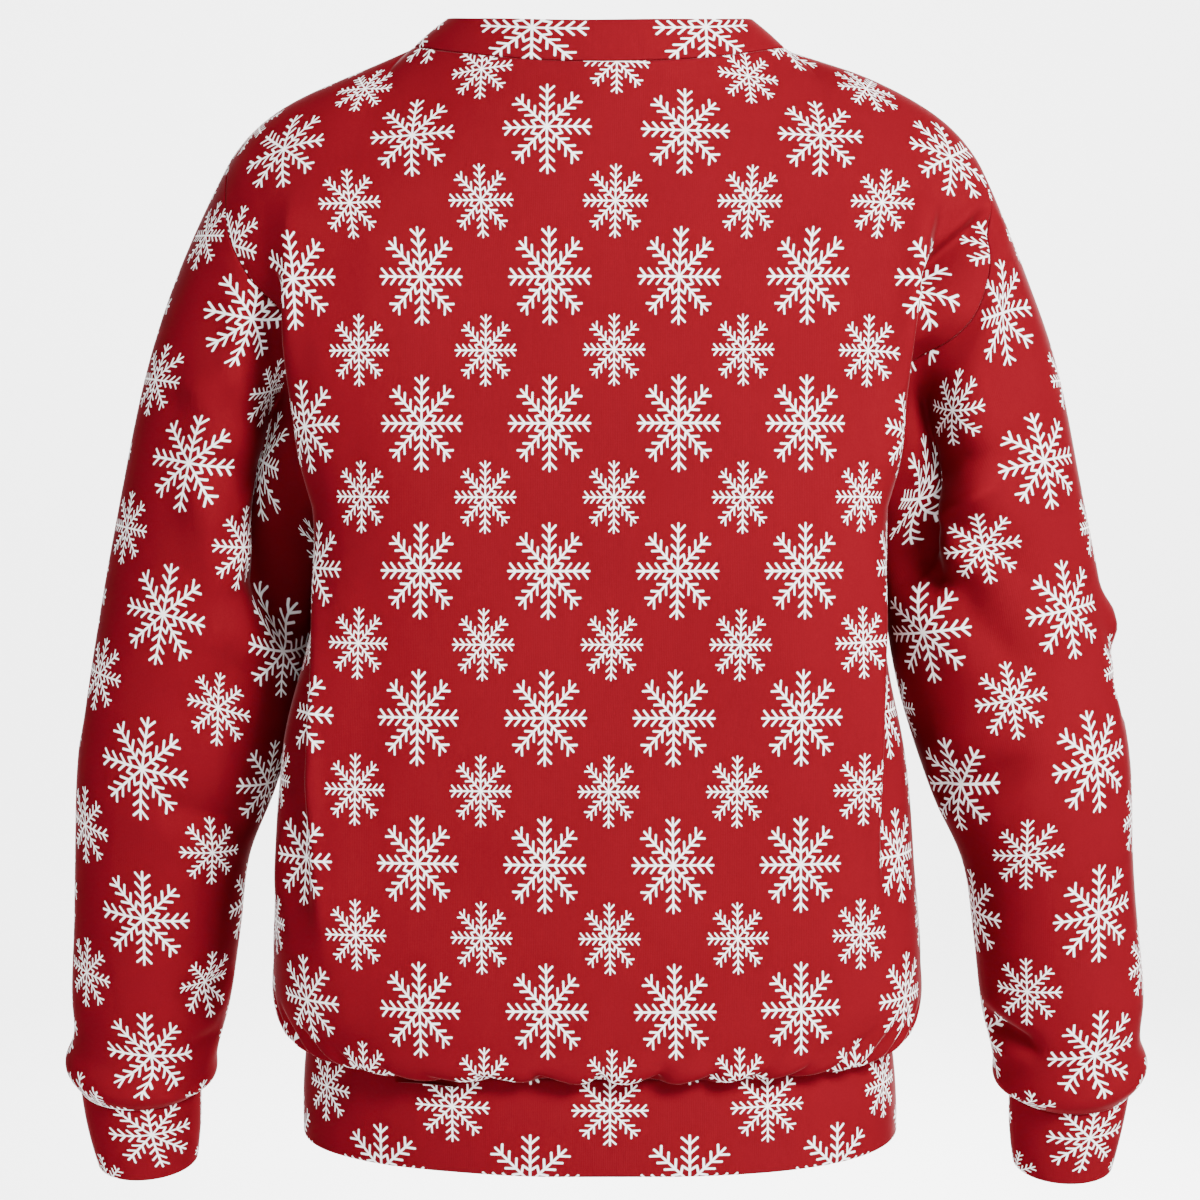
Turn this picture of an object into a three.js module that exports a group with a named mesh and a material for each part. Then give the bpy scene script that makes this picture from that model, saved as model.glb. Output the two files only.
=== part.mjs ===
// Crew-neck sweatshirt in its worn shape, with nobody inside it.
// Millimetres, +Z up. The wearer faces -Y, so the back panel looks towards +Y, and
// the wearer's left side is +X. The origin lies midway between the neck ends of the
// two shoulder seams, where the wearer's shoulders carry the garment.
import * as THREE from 'three';

// ------------------------------------------------------------- driving dimensions

const CLOTH_THICKNESS = 2.0;
const BAND_THICKNESS = 3.6;
const SEAM_GAP = 0.3;
// Added on each side of a seam, in millimetres per radian of twist in the wall.
const TWIST_ROOM = 0.6;

const NECK_HALF_WIDTH = 123;
const NECK_SEAM_Y = 2;
const BACK_NECK_Y = 76;
const BACK_NECK_DROP = 21;
const FRONT_NECK_Y = 98;
const FRONT_NECK_DROP = 90;
const NECK_DROP_POWER = 1.6;

const SHOULDER_X = 246;
const SHOULDER_Y = 3;
const SHOULDER_SLOPE_DROP = 52;
const SHOULDER_ROLL_DROP = 22;
const SHOULDER_ROLL_POWER = 6;

// The neck band rises from its seam and leans towards the neck.
const NECK_BAND = {
  back: { rise: 28, lean: 8 },
  side: { rise: 19, lean: 23 },
  front: { rise: 24, lean: 12 },
};
const BAND_BARREL = 1.2;

// Grid of each panel: columns across it, and how many of them end on one shoulder seam.
const PANEL_COLUMNS = 46;
const SHOULDER_COLUMNS = 10;
const NECK_SHARE = 1 - 2 * SHOULDER_COLUMNS / PANEL_COLUMNS;
const BAND_ROWS = 2;

// A table's rows as objects with its columns' names.
function namedRows(columns, rows) {
  return rows.map((row) => Object.fromEntries(columns.map((column, index) => [column, row[index]])));
}

// Level sections of the body, from the hem seam up. "edge" is the side seam, and the
// armhole above the underarm. backY and frontY are the middle of each panel. "wrap" is
// how far the panel turns round its ellipse before it meets its edge, "corner" fills
// out the turn from back to side, and "shift" moves the section towards the wearer's
// left. On the back, each edge is drawn in by its "tuck" and wraps further by its "turn".
// "rows" is the grid rows up to the next section.
const BODY_SECTIONS = namedRows(
  ['rows', 'edgeX', 'edgeY', 'edgeZ', 'backY', 'backZ', 'frontY', 'frontZ', 'wrap', 'corner', 'shift',
    'leftTuck', 'leftTurn', 'rightTuck', 'rightTurn'],
  [
    [1, 196, 0, -660, 122, -660, 117, -660, 90, 0.10, 0, 0, 0, 0, 0],
    [2, 199, 0, -655, 134, -657, 129, -657, 90, 0.12, 1, 0, 0, 0, 0],
    [2, 214, 0, -633, 140, -636, 135, -636, 90, 0.22, 1, 0, 0, 0, 0],
    [2, 215, 0, -595, 139, -595, 135, -595, 90, 0.34, 2, 0, 0, 0, 0],
    [2, 210, 0, -530, 136, -530, 133, -530, 90, 0.40, 3, 0, 0, 0, 0],
    [2, 203, 0, -455, 133, -455, 132, -455, 90, 0.42, 3, 0, 0, 0, 0],
    [2, 188, 0, -375, 132, -375, 133, -375, 90, 0.42, 1, 0, 0, 0, 0],
    [2, 186, 0, -302, 131, -302, 135, -302, 88, 0.42, 0, 0, 0, 0, 0],
    [2, 198, 34, -277, 129, -256, 134, -260, 78, 0.42, 0, 6, 6, 4, 4],
    [2, 225, 60, -231, 124, -203, 130, -217, 62, 0.40, 0, 30, 18, 24, 15],
    [2, 244, 70, -180, 114, -145, 124, -174, 50, 0.42, 0, 34, 20, 7, 5],
    [4, 252, 58, -126, 98, -85, 113, -133, 44, 0.25, 0, 14, 6, 0, 0],
  ],
);
const UNDERARM_SECTION = 7;
// The hem band falls this far from its seam, and widens by its flare on the way.
const HEM_BAND_HEIGHT = 61;
const HEM_BAND_FLARE = 4;

// Sections of one sleeve, from the upper arm to the cuff seam, each square to the run
// of the sleeve. The first stretch, from the armhole to the upper arm, has rows of its own.
const ARMHOLE_ROWS = 8;
const SLEEVE_SECTIONS = namedRows(
  ['rows', 'x', 'y', 'z', 'halfWidth', 'halfDepth'],
  [
    [2, 262, -20, -345, 71, 67],
    [2, 274, -20, -425, 73, 67],
    [2, 288, -24, -480, 68, 65],
    [1, 301, -31, -535, 59, 60],
    [2, 307.5, -39, -590, 57, 56],
    [2, 314.5, -50, -647, 54.5, 53],
    [1, 319.5, -57, -681, 50, 49],
    [1, 323.5, -60, -697, 52, 51],
    [0, 324, -63, -711, 41, 39],
  ],
);
const CUFF_END = { x: 322.5, y: -74, z: -768, halfWidth: 35, halfDepth: 33 };
// The right sleeve stands further out than the left one below the elbow.
const RIGHT_SLEEVE_SPREAD = { distance: 4, fromZ: -380, fullZ: -520 };
// Directions in which the sleeve leaves the armhole, at the underarm and at the shoulder.
const UNDERARM_FLOW = new THREE.Vector3(0.22, -0.5, -0.84);
const SHOULDER_FLOW = new THREE.Vector3(0.48, 0, -0.88);

// ------------------------------------------------------------------------- folds

// Each fold runs from one point to another as seen square on from its face: "across" is
// x on the back and front, and y on the two sides. "bow" moves its middle sideways.
// A trough has a negative depth and a ridge a positive one.
const FOLDS = namedRows(
  ['part', 'face', 'across', 'height', 'toAcross', 'toHeight', 'bow', 'width', 'depth'],
  [
    // Between each sleeve and the body, from the shoulder blade down to the underarm.
    ['all', 'back', 207, -170, 199, -250, 1, 9, -6],
    ['all', 'back', -220, -110, -203, -240, 3, 15, -19],
    ['all', 'back', -256, -106, -214, -148, 3, 9, -5],
    ['all', 'front', 216, -125, 203, -240, 3, 16, -16],
    ['all', 'front', -216, -125, -203, -240, -3, 16, -16],
    // Upright folds down the sides of the back and the front.
    ['body', 'back', 188, -350, 178, -590, 3, 11, -4],
    ['body', 'back', 158, -380, 158, -610, -4, 18, 3],
    ['body', 'back', -181, -430, -176, -580, -4, 13, 4],
    ['body', 'front', 176, -330, 166, -560, 4, 14, -4],
    ['body', 'front', -180, -360, -164, -600, -4, 14, -4],
    ['body', 'front', 60, -560, 118, -480, 5, 16, -3],
    // Drag lines from the underarm into each sleeve, and the bend of the elbow.
    ['right arm', 'back', -216, -300, -292, -352, 6, 12, -5],
    ['right arm', 'back', -226, -352, -300, -424, 6, 14, -5],
    ['right arm', 'back', -222, -488, -290, -462, -5, 12, -6],
    ['right arm', 'right', -30, -366, -10, -396, 0, 22, 5],
    ['right arm', 'right', -16, -408, -24, -446, 0, 20, -4],
    ['left arm', 'back', 218, -304, 286, -372, -6, 12, -5],
    ['left arm', 'back', 226, -400, 290, -462, -5, 14, -5],
    ['left arm', 'back', 236, -512, 304, -488, 4, 12, -4],
    ['left arm', 'left', -40, -402, -24, -470, 0, 22, -4],
    ['right arm', 'front', -220, -316, -296, -376, 6, 14, -5],
    ['right arm', 'front', -236, -520, -346, -470, 8, 13, -7],
    ['left arm', 'front', 220, -320, 292, -384, -6, 14, -5],
    ['left arm', 'front', 240, -524, 346, -478, -8, 13, -7],
    // The sleeve ends that bag over the cuffs.
    ['right arm', 'back', -262, -664, -312, -688, 2, 7, -6],
    ['left arm', 'back', 286, -676, 262, -672, 0, 8, -4],
  ],
);

// Gathers round the body above the hem seam. They lean outwards as they rise, and fade
// out between the two fade heights.
const GATHERS = { count: 34, depth: 2.4, lean: 0.0009, fullAt: 12, fadeFrom: 20, fadeTo: 62 };

// ---------------------------------------------------------------- curve utilities

const radians = THREE.MathUtils.degToRad;
const mix = THREE.MathUtils.lerp;

function smoothStep(value, low, high) {
  const share = THREE.MathUtils.clamp((value - low) / (high - low), 0, 1);
  return share * share * (3 - 2 * share);
}

// Direction of a curve at a station, weighted towards the nearer neighbour.
function stationDirection(before, at, after) {
  const into = at.clone().sub(before);
  const outOf = after.clone().sub(at);
  const lengthIn = into.length();
  const lengthOut = outOf.length();
  into.multiplyScalar(lengthOut / lengthIn);
  outOf.multiplyScalar(lengthIn / lengthOut);
  return into.add(outOf).normalize();
}

// Point on the cubic between two stations that leaves and arrives in given directions.
function cubicPoint(start, end, startDirection, endDirection, share) {
  const chord = start.distanceTo(end);
  const square = share * share;
  const cube = square * share;
  const point = start.clone().multiplyScalar(2 * cube - 3 * square + 1);
  point.addScaledVector(startDirection, chord * (cube - 2 * square + share));
  point.addScaledVector(end, 3 * square - 2 * cube);
  point.addScaledVector(endDirection, chord * (cube - square));
  return point;
}

// Finds the section that a grid row lies in, and its share of the way to the next one.
function locateRow(sections, row) {
  let first = 0;
  for (let index = 0; index < sections.length; index += 1) {
    const rows = sections[index].rows;
    if (row <= first + rows) {
      return { index, share: (row - first) / rows };
    }
    first += rows;
  }
  return { index: sections.length - 1, share: 1 };
}

function countRows(sections) {
  return sections.reduce((sum, section) => sum + section.rows, 0);
}

// -------------------------------------------------------------------- body surface

const BODY_ROWS = countRows(BODY_SECTIONS);
const UNDERARM_ROW = countRows(BODY_SECTIONS.slice(0, UNDERARM_SECTION));

// How far a section is drawn in towards one edge, and how much further it wraps there.
function edgeTuck(section, side, across) {
  if (side < 0 || across === 0) {
    return { tuck: 0, turn: 0 };
  }
  if (across > 0) {
    return { tuck: section.leftTuck, turn: section.leftTurn };
  }
  return { tuck: section.rightTuck, turn: section.rightTurn };
}

// Point of a level section. side is 1 on the back and -1 on the front, and across runs
// from -1 at the right edge to 1 at the left edge.
function sectionPoint(section, side, across) {
  const { tuck, turn: tuckTurn } = edgeTuck(section, side, across);
  const wrap = radians(section.wrap + tuckTurn);
  const turn = Math.abs(across) * wrap;
  const fill = section.corner * (Math.cos(turn) ** 2 - Math.cos(wrap) ** 2);
  const outward = Math.sin(turn) / Math.sin(wrap) * (1 + fill);
  const towardsMiddle = (Math.cos(turn) - Math.cos(wrap)) / (1 - Math.cos(wrap));
  const bulge = towardsMiddle * (1 + section.corner * Math.sin(turn) ** 2);
  const middleY = side > 0 ? section.backY : section.frontY;
  const middleZ = side > 0 ? section.backZ : section.frontZ;
  return new THREE.Vector3(
    section.shift + Math.sign(across) * (section.edgeX - tuck) * outward,
    side * mix(section.edgeY, middleY, bulge),
    mix(section.edgeZ, middleZ, towardsMiddle),
  );
}

// Point of the neck seam, and past its ends of the shoulder seam.
function neckAndShoulderPoint(side, across) {
  const reach = Math.abs(across);
  if (reach <= NECK_SHARE) {
    const turn = reach / NECK_SHARE * Math.PI / 2;
    const depth = side > 0 ? BACK_NECK_Y - NECK_SEAM_Y : FRONT_NECK_Y + NECK_SEAM_Y;
    const drop = side > 0 ? BACK_NECK_DROP : FRONT_NECK_DROP;
    return new THREE.Vector3(
      Math.sign(across) * NECK_HALF_WIDTH * Math.sin(turn),
      NECK_SEAM_Y + side * depth * Math.cos(turn),
      -drop * Math.abs(Math.cos(turn)) ** NECK_DROP_POWER,
    );
  }
  const along = (reach - NECK_SHARE) / (1 - NECK_SHARE);
  return new THREE.Vector3(
    Math.sign(across) * mix(NECK_HALF_WIDTH, SHOULDER_X, along),
    mix(NECK_SEAM_Y, SHOULDER_Y, along),
    -SHOULDER_SLOPE_DROP * along - SHOULDER_ROLL_DROP * along ** SHOULDER_ROLL_POWER,
  );
}

// Point of the neck band, from its seam at height 0 to its folded edge at height 1.
function neckBandPoint(side, across, height) {
  const seam = neckAndShoulderPoint(side, across);
  const sideways = Math.sin(Math.abs(across) / NECK_SHARE * Math.PI / 2) ** 2;
  const middle = side > 0 ? NECK_BAND.back : NECK_BAND.front;
  const rise = mix(middle.rise, NECK_BAND.side.rise, sideways);
  const lean = mix(middle.lean, NECK_BAND.side.lean, sideways);
  const inward = new THREE.Vector3(-seam.x, NECK_SEAM_Y - seam.y, 0).normalize();
  const barrel = BAND_BARREL * Math.sin(Math.PI * height);
  const point = seam.addScaledVector(inward, lean * height - barrel);
  point.z += rise * height;
  return point;
}

function panelStation(index, side, across) {
  if (index < BODY_SECTIONS.length) {
    return sectionPoint(BODY_SECTIONS[Math.max(index, 0)], side, across);
  }
  return neckAndShoulderPoint(side, across);
}

// Direction of a panel at its top edge: over the shoulder to the other panel, and up
// into the band along the neck.
function topDirection(side, across) {
  const last = BODY_SECTIONS.length;
  const below = panelStation(last - 1, side, across);
  const top = panelStation(last, side, across);
  const overShoulder = stationDirection(below, top, panelStation(last - 1, -side, across));
  const neckAcross = THREE.MathUtils.clamp(across, -NECK_SHARE, NECK_SHARE);
  const bandRise = neckBandPoint(side, neckAcross, 1).sub(neckBandPoint(side, neckAcross, 0));
  const intoBand = stationDirection(below, top, top.clone().add(bandRise));
  const shoulderShare = smoothStep(Math.abs(across), NECK_SHARE - 0.3, NECK_SHARE + 0.3);
  return intoBand.lerp(overShoulder, shoulderShare).normalize();
}

// Direction of a panel at the underarm. The middle runs straight on, but at the edge
// the side seam arrives upright and the armhole leaves it towards the panel's middle.
function underarmDirection(side, across, leaving) {
  const at = panelStation(UNDERARM_SECTION, side, across);
  const below = panelStation(UNDERARM_SECTION - 1, side, across);
  const straight = stationDirection(below, at, panelStation(UNDERARM_SECTION + 1, side, across));
  const atEdge = leaving ? new THREE.Vector3(0, side, 0.25) : at.clone().sub(below);
  const edgeShare = smoothStep(Math.abs(across), 0.6, 1);
  return straight.lerp(atEdge.normalize(), edgeShare).normalize();
}

function panelPoint(side, across, row) {
  const { index, share } = locateRow(BODY_SECTIONS, row);
  const start = panelStation(index, side, across);
  const end = panelStation(index + 1, side, across);
  const before = index > 0 ? panelStation(index - 1, side, across) : start.clone().lerp(end, -1);
  let startDirection = stationDirection(before, start, end);
  if (index === UNDERARM_SECTION) {
    startDirection = underarmDirection(side, across, true);
  }
  let endDirection;
  if (index + 1 === BODY_SECTIONS.length) {
    endDirection = topDirection(side, across);
  } else if (index + 1 === UNDERARM_SECTION) {
    endDirection = underarmDirection(side, across, false);
  } else {
    endDirection = stationDirection(start, end, panelStation(index + 2, side, across));
  }
  return cubicPoint(start, end, startDirection, endDirection, share);
}

// ------------------------------------------------------------------ sleeve surface

const SLEEVE_ROWS = ARMHOLE_ROWS + countRows(SLEEVE_SECTIONS);
const SLEEVE_COLUMNS = 2 * (BODY_ROWS - UNDERARM_ROW);

// Point of an armhole seam. hand is 1 for the wearer's left sleeve and -1 for the right
// one. around runs from 0 at the underarm, up the back to 0.5 at the shoulder and down
// the front to 1. Both sleeves are laid out on the left side.
function armholePoint(around, hand) {
  const side = around <= 0.5 ? 1 : -1;
  const climb = 1 - Math.abs(1 - 2 * around);
  const point = panelPoint(side, hand, mix(UNDERARM_ROW, BODY_ROWS, climb));
  point.x *= hand;
  return point;
}

function sleeveCentre(index) {
  const section = SLEEVE_SECTIONS[THREE.MathUtils.clamp(index, 0, SLEEVE_SECTIONS.length - 1)];
  return new THREE.Vector3(section.x, section.y, section.z);
}

// Point of an elliptical ring round a centre, square to the run of the sleeve.
function ringPoint(centre, run, halfWidth, halfDepth, around) {
  const outward = new THREE.Vector3(1, 0, 0).addScaledVector(run, -run.x).normalize();
  const backward = new THREE.Vector3().crossVectors(outward, run).normalize();
  const turn = 2 * Math.PI * around;
  return centre.clone()
    .addScaledVector(outward, -halfWidth * Math.cos(turn))
    .addScaledVector(backward, halfDepth * Math.sin(turn));
}

function sleeveRing(index, around) {
  const section = SLEEVE_SECTIONS[index];
  const run = sleeveCentre(index + 1).sub(sleeveCentre(index - 1)).normalize();
  return ringPoint(sleeveCentre(index), run, section.halfWidth, section.halfDepth, around);
}

function sleeveStation(index, around, hand) {
  return index < 0 ? armholePoint(around, hand) : sleeveRing(index, around);
}

function sleevePoint(around, row, hand) {
  const stretches = [{ rows: ARMHOLE_ROWS }, ...SLEEVE_SECTIONS];
  const { index, share } = locateRow(stretches, row);
  const start = sleeveStation(index - 1, around, hand);
  const end = sleeveRing(index, around);
  let startDirection;
  if (index === 0) {
    const overShoulder = Math.sin(Math.PI * around);
    startDirection = UNDERARM_FLOW.clone().lerp(SHOULDER_FLOW, overShoulder).normalize();
  } else {
    startDirection = stationDirection(sleeveStation(index - 2, around, hand), start, end);
  }
  const last = SLEEVE_SECTIONS.length - 1;
  const after = index < last ? sleeveRing(index + 1, around) : end.clone().lerp(start, -1);
  const endDirection = stationDirection(start, end, after);
  return cubicPoint(start, end, startDirection, endDirection, share);
}

function cuffPoint(around, height) {
  const last = SLEEVE_SECTIONS.length - 1;
  const seam = sleeveRing(last, around);
  const endCentre = new THREE.Vector3(CUFF_END.x, CUFF_END.y, CUFF_END.z);
  const run = endCentre.clone().sub(sleeveCentre(last)).normalize();
  const end = ringPoint(endCentre, run, CUFF_END.halfWidth, CUFF_END.halfDepth, around);
  const centre = sleeveCentre(last).lerp(endCentre, height);
  const point = seam.lerp(end, height);
  const outward = point.clone().sub(centre).normalize();
  return point.addScaledVector(outward, BAND_BARREL * Math.sin(Math.PI * height));
}

// --------------------------------------------------------------------- fold surface

const FACES = {
  back: { normal: new THREE.Vector3(0, 1, 0), axis: 'x' },
  front: { normal: new THREE.Vector3(0, -1, 0), axis: 'x' },
  left: { normal: new THREE.Vector3(1, 0, 0), axis: 'y' },
  right: { normal: new THREE.Vector3(-1, 0, 0), axis: 'y' },
};

// Height of one fold at a point of the cloth, along the cloth's normal.
function foldHeight(fold, point, normal) {
  const face = FACES[fold.face];
  const facing = smoothStep(normal.dot(face.normal), -0.1, 0.4);
  const alongAcross = fold.toAcross - fold.across;
  const alongHeight = fold.toHeight - fold.height;
  const length = Math.hypot(alongAcross, alongHeight);
  const across = point[face.axis] - fold.across;
  const height = point.z - fold.height;
  const along = (across * alongAcross + height * alongHeight) / (length * length);
  if (facing === 0 || along < -0.25 || along > 1.25) {
    return 0;
  }
  const middle = 4 * THREE.MathUtils.clamp(along * (1 - along), 0, 0.25);
  const aside = (across * alongHeight - height * alongAcross) / length - fold.bow * middle;
  const ends = smoothStep(along, -0.25, 0.3) * smoothStep(1 - along, -0.25, 0.3);
  return fold.depth * facing * ends * Math.exp(-((aside / fold.width) ** 2));
}

// Height of the hem gathers, uneven in spacing and in depth.
function gatherHeight(point) {
  const rise = point.z - BODY_SECTIONS[0].edgeZ;
  if (rise <= 0 || rise >= GATHERS.fadeTo) {
    return 0;
  }
  const straight = Math.atan2(point.x, point.y);
  const turn = straight - GATHERS.lean * rise * Math.sin(2 * straight);
  const wave = Math.sin(GATHERS.count * turn + 1.3 * Math.sin(3 * turn + 0.5));
  const unevenness = 0.6 + 0.4 * Math.sin(5 * turn + 1);
  const start = smoothStep(rise, 0, GATHERS.fullAt);
  const fade = 1 - smoothStep(rise, GATHERS.fadeFrom, GATHERS.fadeTo);
  return GATHERS.depth * wave * unevenness * start * fade;
}

function clothHeight(part, point, normal, onSeam) {
  let height = part === 'body' ? gatherHeight(point) : 0;
  for (const fold of FOLDS) {
    if (fold.part === 'all' || (fold.part === part && !onSeam)) {
      height += foldHeight(fold, point, normal);
    }
  }
  return height;
}

// -------------------------------------------------------------------------- patches

// A patch is one piece's outer face as a grid of points. closed patches run all round.
// facing is 1 where across x along points outwards, and seams says which ends are sewn.
function makeGrid(rows, columns, closed, pointAt) {
  const grid = [];
  for (let row = 0; row <= rows; row += 1) {
    const line = [];
    const last = closed ? columns - 1 : columns;
    for (let column = 0; column <= last; column += 1) {
      line.push(pointAt(column / columns, row));
    }
    grid.push(line);
  }
  return grid;
}

function panelPatch(name, side) {
  const pointAt = (share, row) => panelPoint(side, 2 * share - 1, row);
  return {
    name,
    part: 'body',
    facing: -side,
    closed: false,
    thickness: CLOTH_THICKNESS,
    seams: { first: true, last: true },
    grid: makeGrid(BODY_ROWS, PANEL_COLUMNS, false, pointAt),
  };
}

// A point laid out on the left side, moved to the side of the given hand.
function placeOnHand(point, hand) {
  const { distance, fromZ, fullZ } = RIGHT_SLEEVE_SPREAD;
  const spread = hand > 0 ? 0 : distance * smoothStep(-point.z, -fromZ, -fullZ);
  point.x = hand * (point.x + spread);
  return point;
}

function sleevePatch(name, hand) {
  const pointAt = (share, row) => placeOnHand(sleevePoint(share, row, hand), hand);
  return {
    name,
    part: hand > 0 ? 'left arm' : 'right arm',
    facing: hand,
    closed: true,
    thickness: CLOTH_THICKNESS,
    seams: { first: true, last: true },
    grid: makeGrid(SLEEVE_ROWS, SLEEVE_COLUMNS, true, pointAt),
  };
}

function cuffPatch(name, hand) {
  const pointAt = (share, row) => placeOnHand(cuffPoint(share, row / BAND_ROWS), hand);
  return {
    name,
    part: hand > 0 ? 'left arm' : 'right arm',
    facing: hand,
    closed: true,
    thickness: BAND_THICKNESS,
    seams: { first: true, last: false },
    grid: makeGrid(BAND_ROWS, SLEEVE_COLUMNS, true, pointAt),
  };
}

// A ring round the body has the back's columns from right to left and then the front's
// from left to right. half is the across value at each end of the back.
function bodyRing(columnsPerSide, half, pointAt) {
  return (share, row) => {
    const column = share * 2 * columnsPerSide;
    const side = column <= columnsPerSide ? 1 : -1;
    const across = side > 0 ? 2 * column / columnsPerSide - 1 : 3 - 2 * column / columnsPerSide;
    return pointAt(side, across * half, row / BAND_ROWS);
  };
}

function hemBandPoint(side, across, height) {
  const point = sectionPoint(BODY_SECTIONS[0], side, across);
  const outward = new THREE.Vector3(point.x, point.y, 0).normalize();
  const barrel = BAND_BARREL * Math.sin(Math.PI * height);
  point.addScaledVector(outward, HEM_BAND_FLARE * height + barrel);
  point.z -= HEM_BAND_HEIGHT * height;
  return point;
}

function hemBandPatch() {
  const ring = bodyRing(PANEL_COLUMNS, 1, hemBandPoint);
  return {
    name: 'hem_band',
    part: 'body',
    facing: 1,
    closed: true,
    thickness: BAND_THICKNESS,
    seams: { first: true, last: false },
    grid: makeGrid(BAND_ROWS, 2 * PANEL_COLUMNS, true, ring),
  };
}

function neckBandPatch() {
  const columns = PANEL_COLUMNS - 2 * SHOULDER_COLUMNS;
  const ring = bodyRing(columns, NECK_SHARE, neckBandPoint);
  return {
    name: 'neck_band',
    part: 'body',
    facing: -1,
    closed: true,
    thickness: BAND_THICKNESS,
    seams: { first: true, last: false },
    grid: makeGrid(BAND_ROWS, 2 * columns, true, ring),
  };
}

// ------------------------------------------------------------------- shared normals

function pointKey(point) {
  return [point.x, point.y, point.z].map((value) => Math.round(value * 100)).join(' ');
}

// Normals of all patches together, so that sewn pieces agree along their seams.
function sharedNormals(patches) {
  const sums = new Map();
  const add = (point, normal) => {
    const key = pointKey(point);
    if (!sums.has(key)) {
      sums.set(key, new THREE.Vector3());
    }
    sums.get(key).add(normal);
  };
  for (const { grid, closed, facing } of patches) {
    const columns = grid[0].length;
    for (let row = 0; row + 1 < grid.length; row += 1) {
      for (let column = 0; column < (closed ? columns : columns - 1); column += 1) {
        const next = (column + 1) % columns;
        const below = grid[row];
        const above = grid[row + 1];
        const corners = [below[column], below[next], above[next], above[column]];
        const diagonal = corners[2].clone().sub(corners[0]);
        const other = corners[3].clone().sub(corners[1]);
        const normal = diagonal.cross(other).multiplyScalar(facing);
        corners.forEach((corner) => add(corner, normal));
      }
    }
  }
  for (const normal of sums.values()) {
    normal.normalize();
  }
  return (point) => sums.get(pointKey(point));
}

function isOnSeam(patch, row, column) {
  const lastRow = patch.grid.length - 1;
  const lastColumn = patch.grid[0].length - 1;
  return row === 0 || row === lastRow || (!patch.closed && (column === 0 || column === lastColumn));
}

// A sewn ring of a band is as thin as the cloth that it meets.
function isSewn(patch, row) {
  const lastRow = patch.grid.length - 1;
  return (row === 0 && patch.seams.first) || (row === lastRow && patch.seams.last);
}

function foldPatches(patches) {
  const normalAt = sharedNormals(patches);
  for (const patch of patches) {
    patch.grid = patch.grid.map((line, row) => line.map((point, column) => {
      const normal = normalAt(point);
      const height = clothHeight(patch.part, point, normal, isOnSeam(patch, row, column));
      return point.clone().addScaledVector(normal, height);
    }));
  }
}

// ----------------------------------------------------------------------------- walls

// Moves a corner of a piece's edge inwards, away from the two stretches of seam that
// meet at it. Each stretch is { inward, distance }.
function cornerShift(before, after) {
  const cosine = before.inward.dot(after.inward);
  const spread = 1 - cosine * cosine;
  if (spread < 0.02) {
    const middle = before.inward.clone().add(after.inward).normalize();
    return middle.multiplyScalar(Math.max(before.distance, after.distance));
  }
  const first = (before.distance - after.distance * cosine) / spread;
  const second = (after.distance - before.distance * cosine) / spread;
  return before.inward.clone().multiplyScalar(first).addScaledVector(after.inward, second);
}

// Edge loops of a patch as lists of [row, column], each with its interior on the same
// hand, and with the seam flag of the stretch that follows each corner.
function edgeLoops(patch) {
  const lastRow = patch.grid.length - 1;
  const columns = patch.grid[0].length;
  if (patch.closed) {
    const first = [];
    const last = [];
    for (let column = 0; column < columns; column += 1) {
      first.push({ row: 0, column, sewn: patch.seams.first });
      last.push({ row: lastRow, column: columns - 1 - column, sewn: patch.seams.last });
    }
    return [first, last];
  }
  const loop = [];
  for (let column = 0; column < columns - 1; column += 1) {
    loop.push({ row: 0, column, sewn: true });
  }
  for (let row = 0; row < lastRow; row += 1) {
    loop.push({ row, column: columns - 1, sewn: true });
  }
  for (let column = columns - 1; column > 0; column -= 1) {
    loop.push({ row: lastRow, column, sewn: true });
  }
  for (let row = lastRow; row > 0; row -= 1) {
    loop.push({ row, column: 0, sewn: true });
  }
  return [loop];
}

function pullBackFromSeams(patch, loop, normalAt) {
  const points = loop.map(({ row, column }) => patch.grid[row][column]);
  const count = loop.length;
  const stretches = points.map((point, index) => {
    const next = points[(index + 1) % count];
    const normal = normalAt(point).clone().add(normalAt(next)).normalize();
    const inward = normal.cross(next.clone().sub(point)).multiplyScalar(patch.facing).normalize();
    const twist = normalAt(point).angleTo(normalAt(next));
    return { inward, distance: loop[index].sewn ? SEAM_GAP / 2 + TWIST_ROOM * twist : 0 };
  });
  return points.map((point, index) => {
    const shift = cornerShift(stretches[(index + count - 1) % count], stretches[index]);
    return point.clone().add(shift);
  });
}

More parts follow.
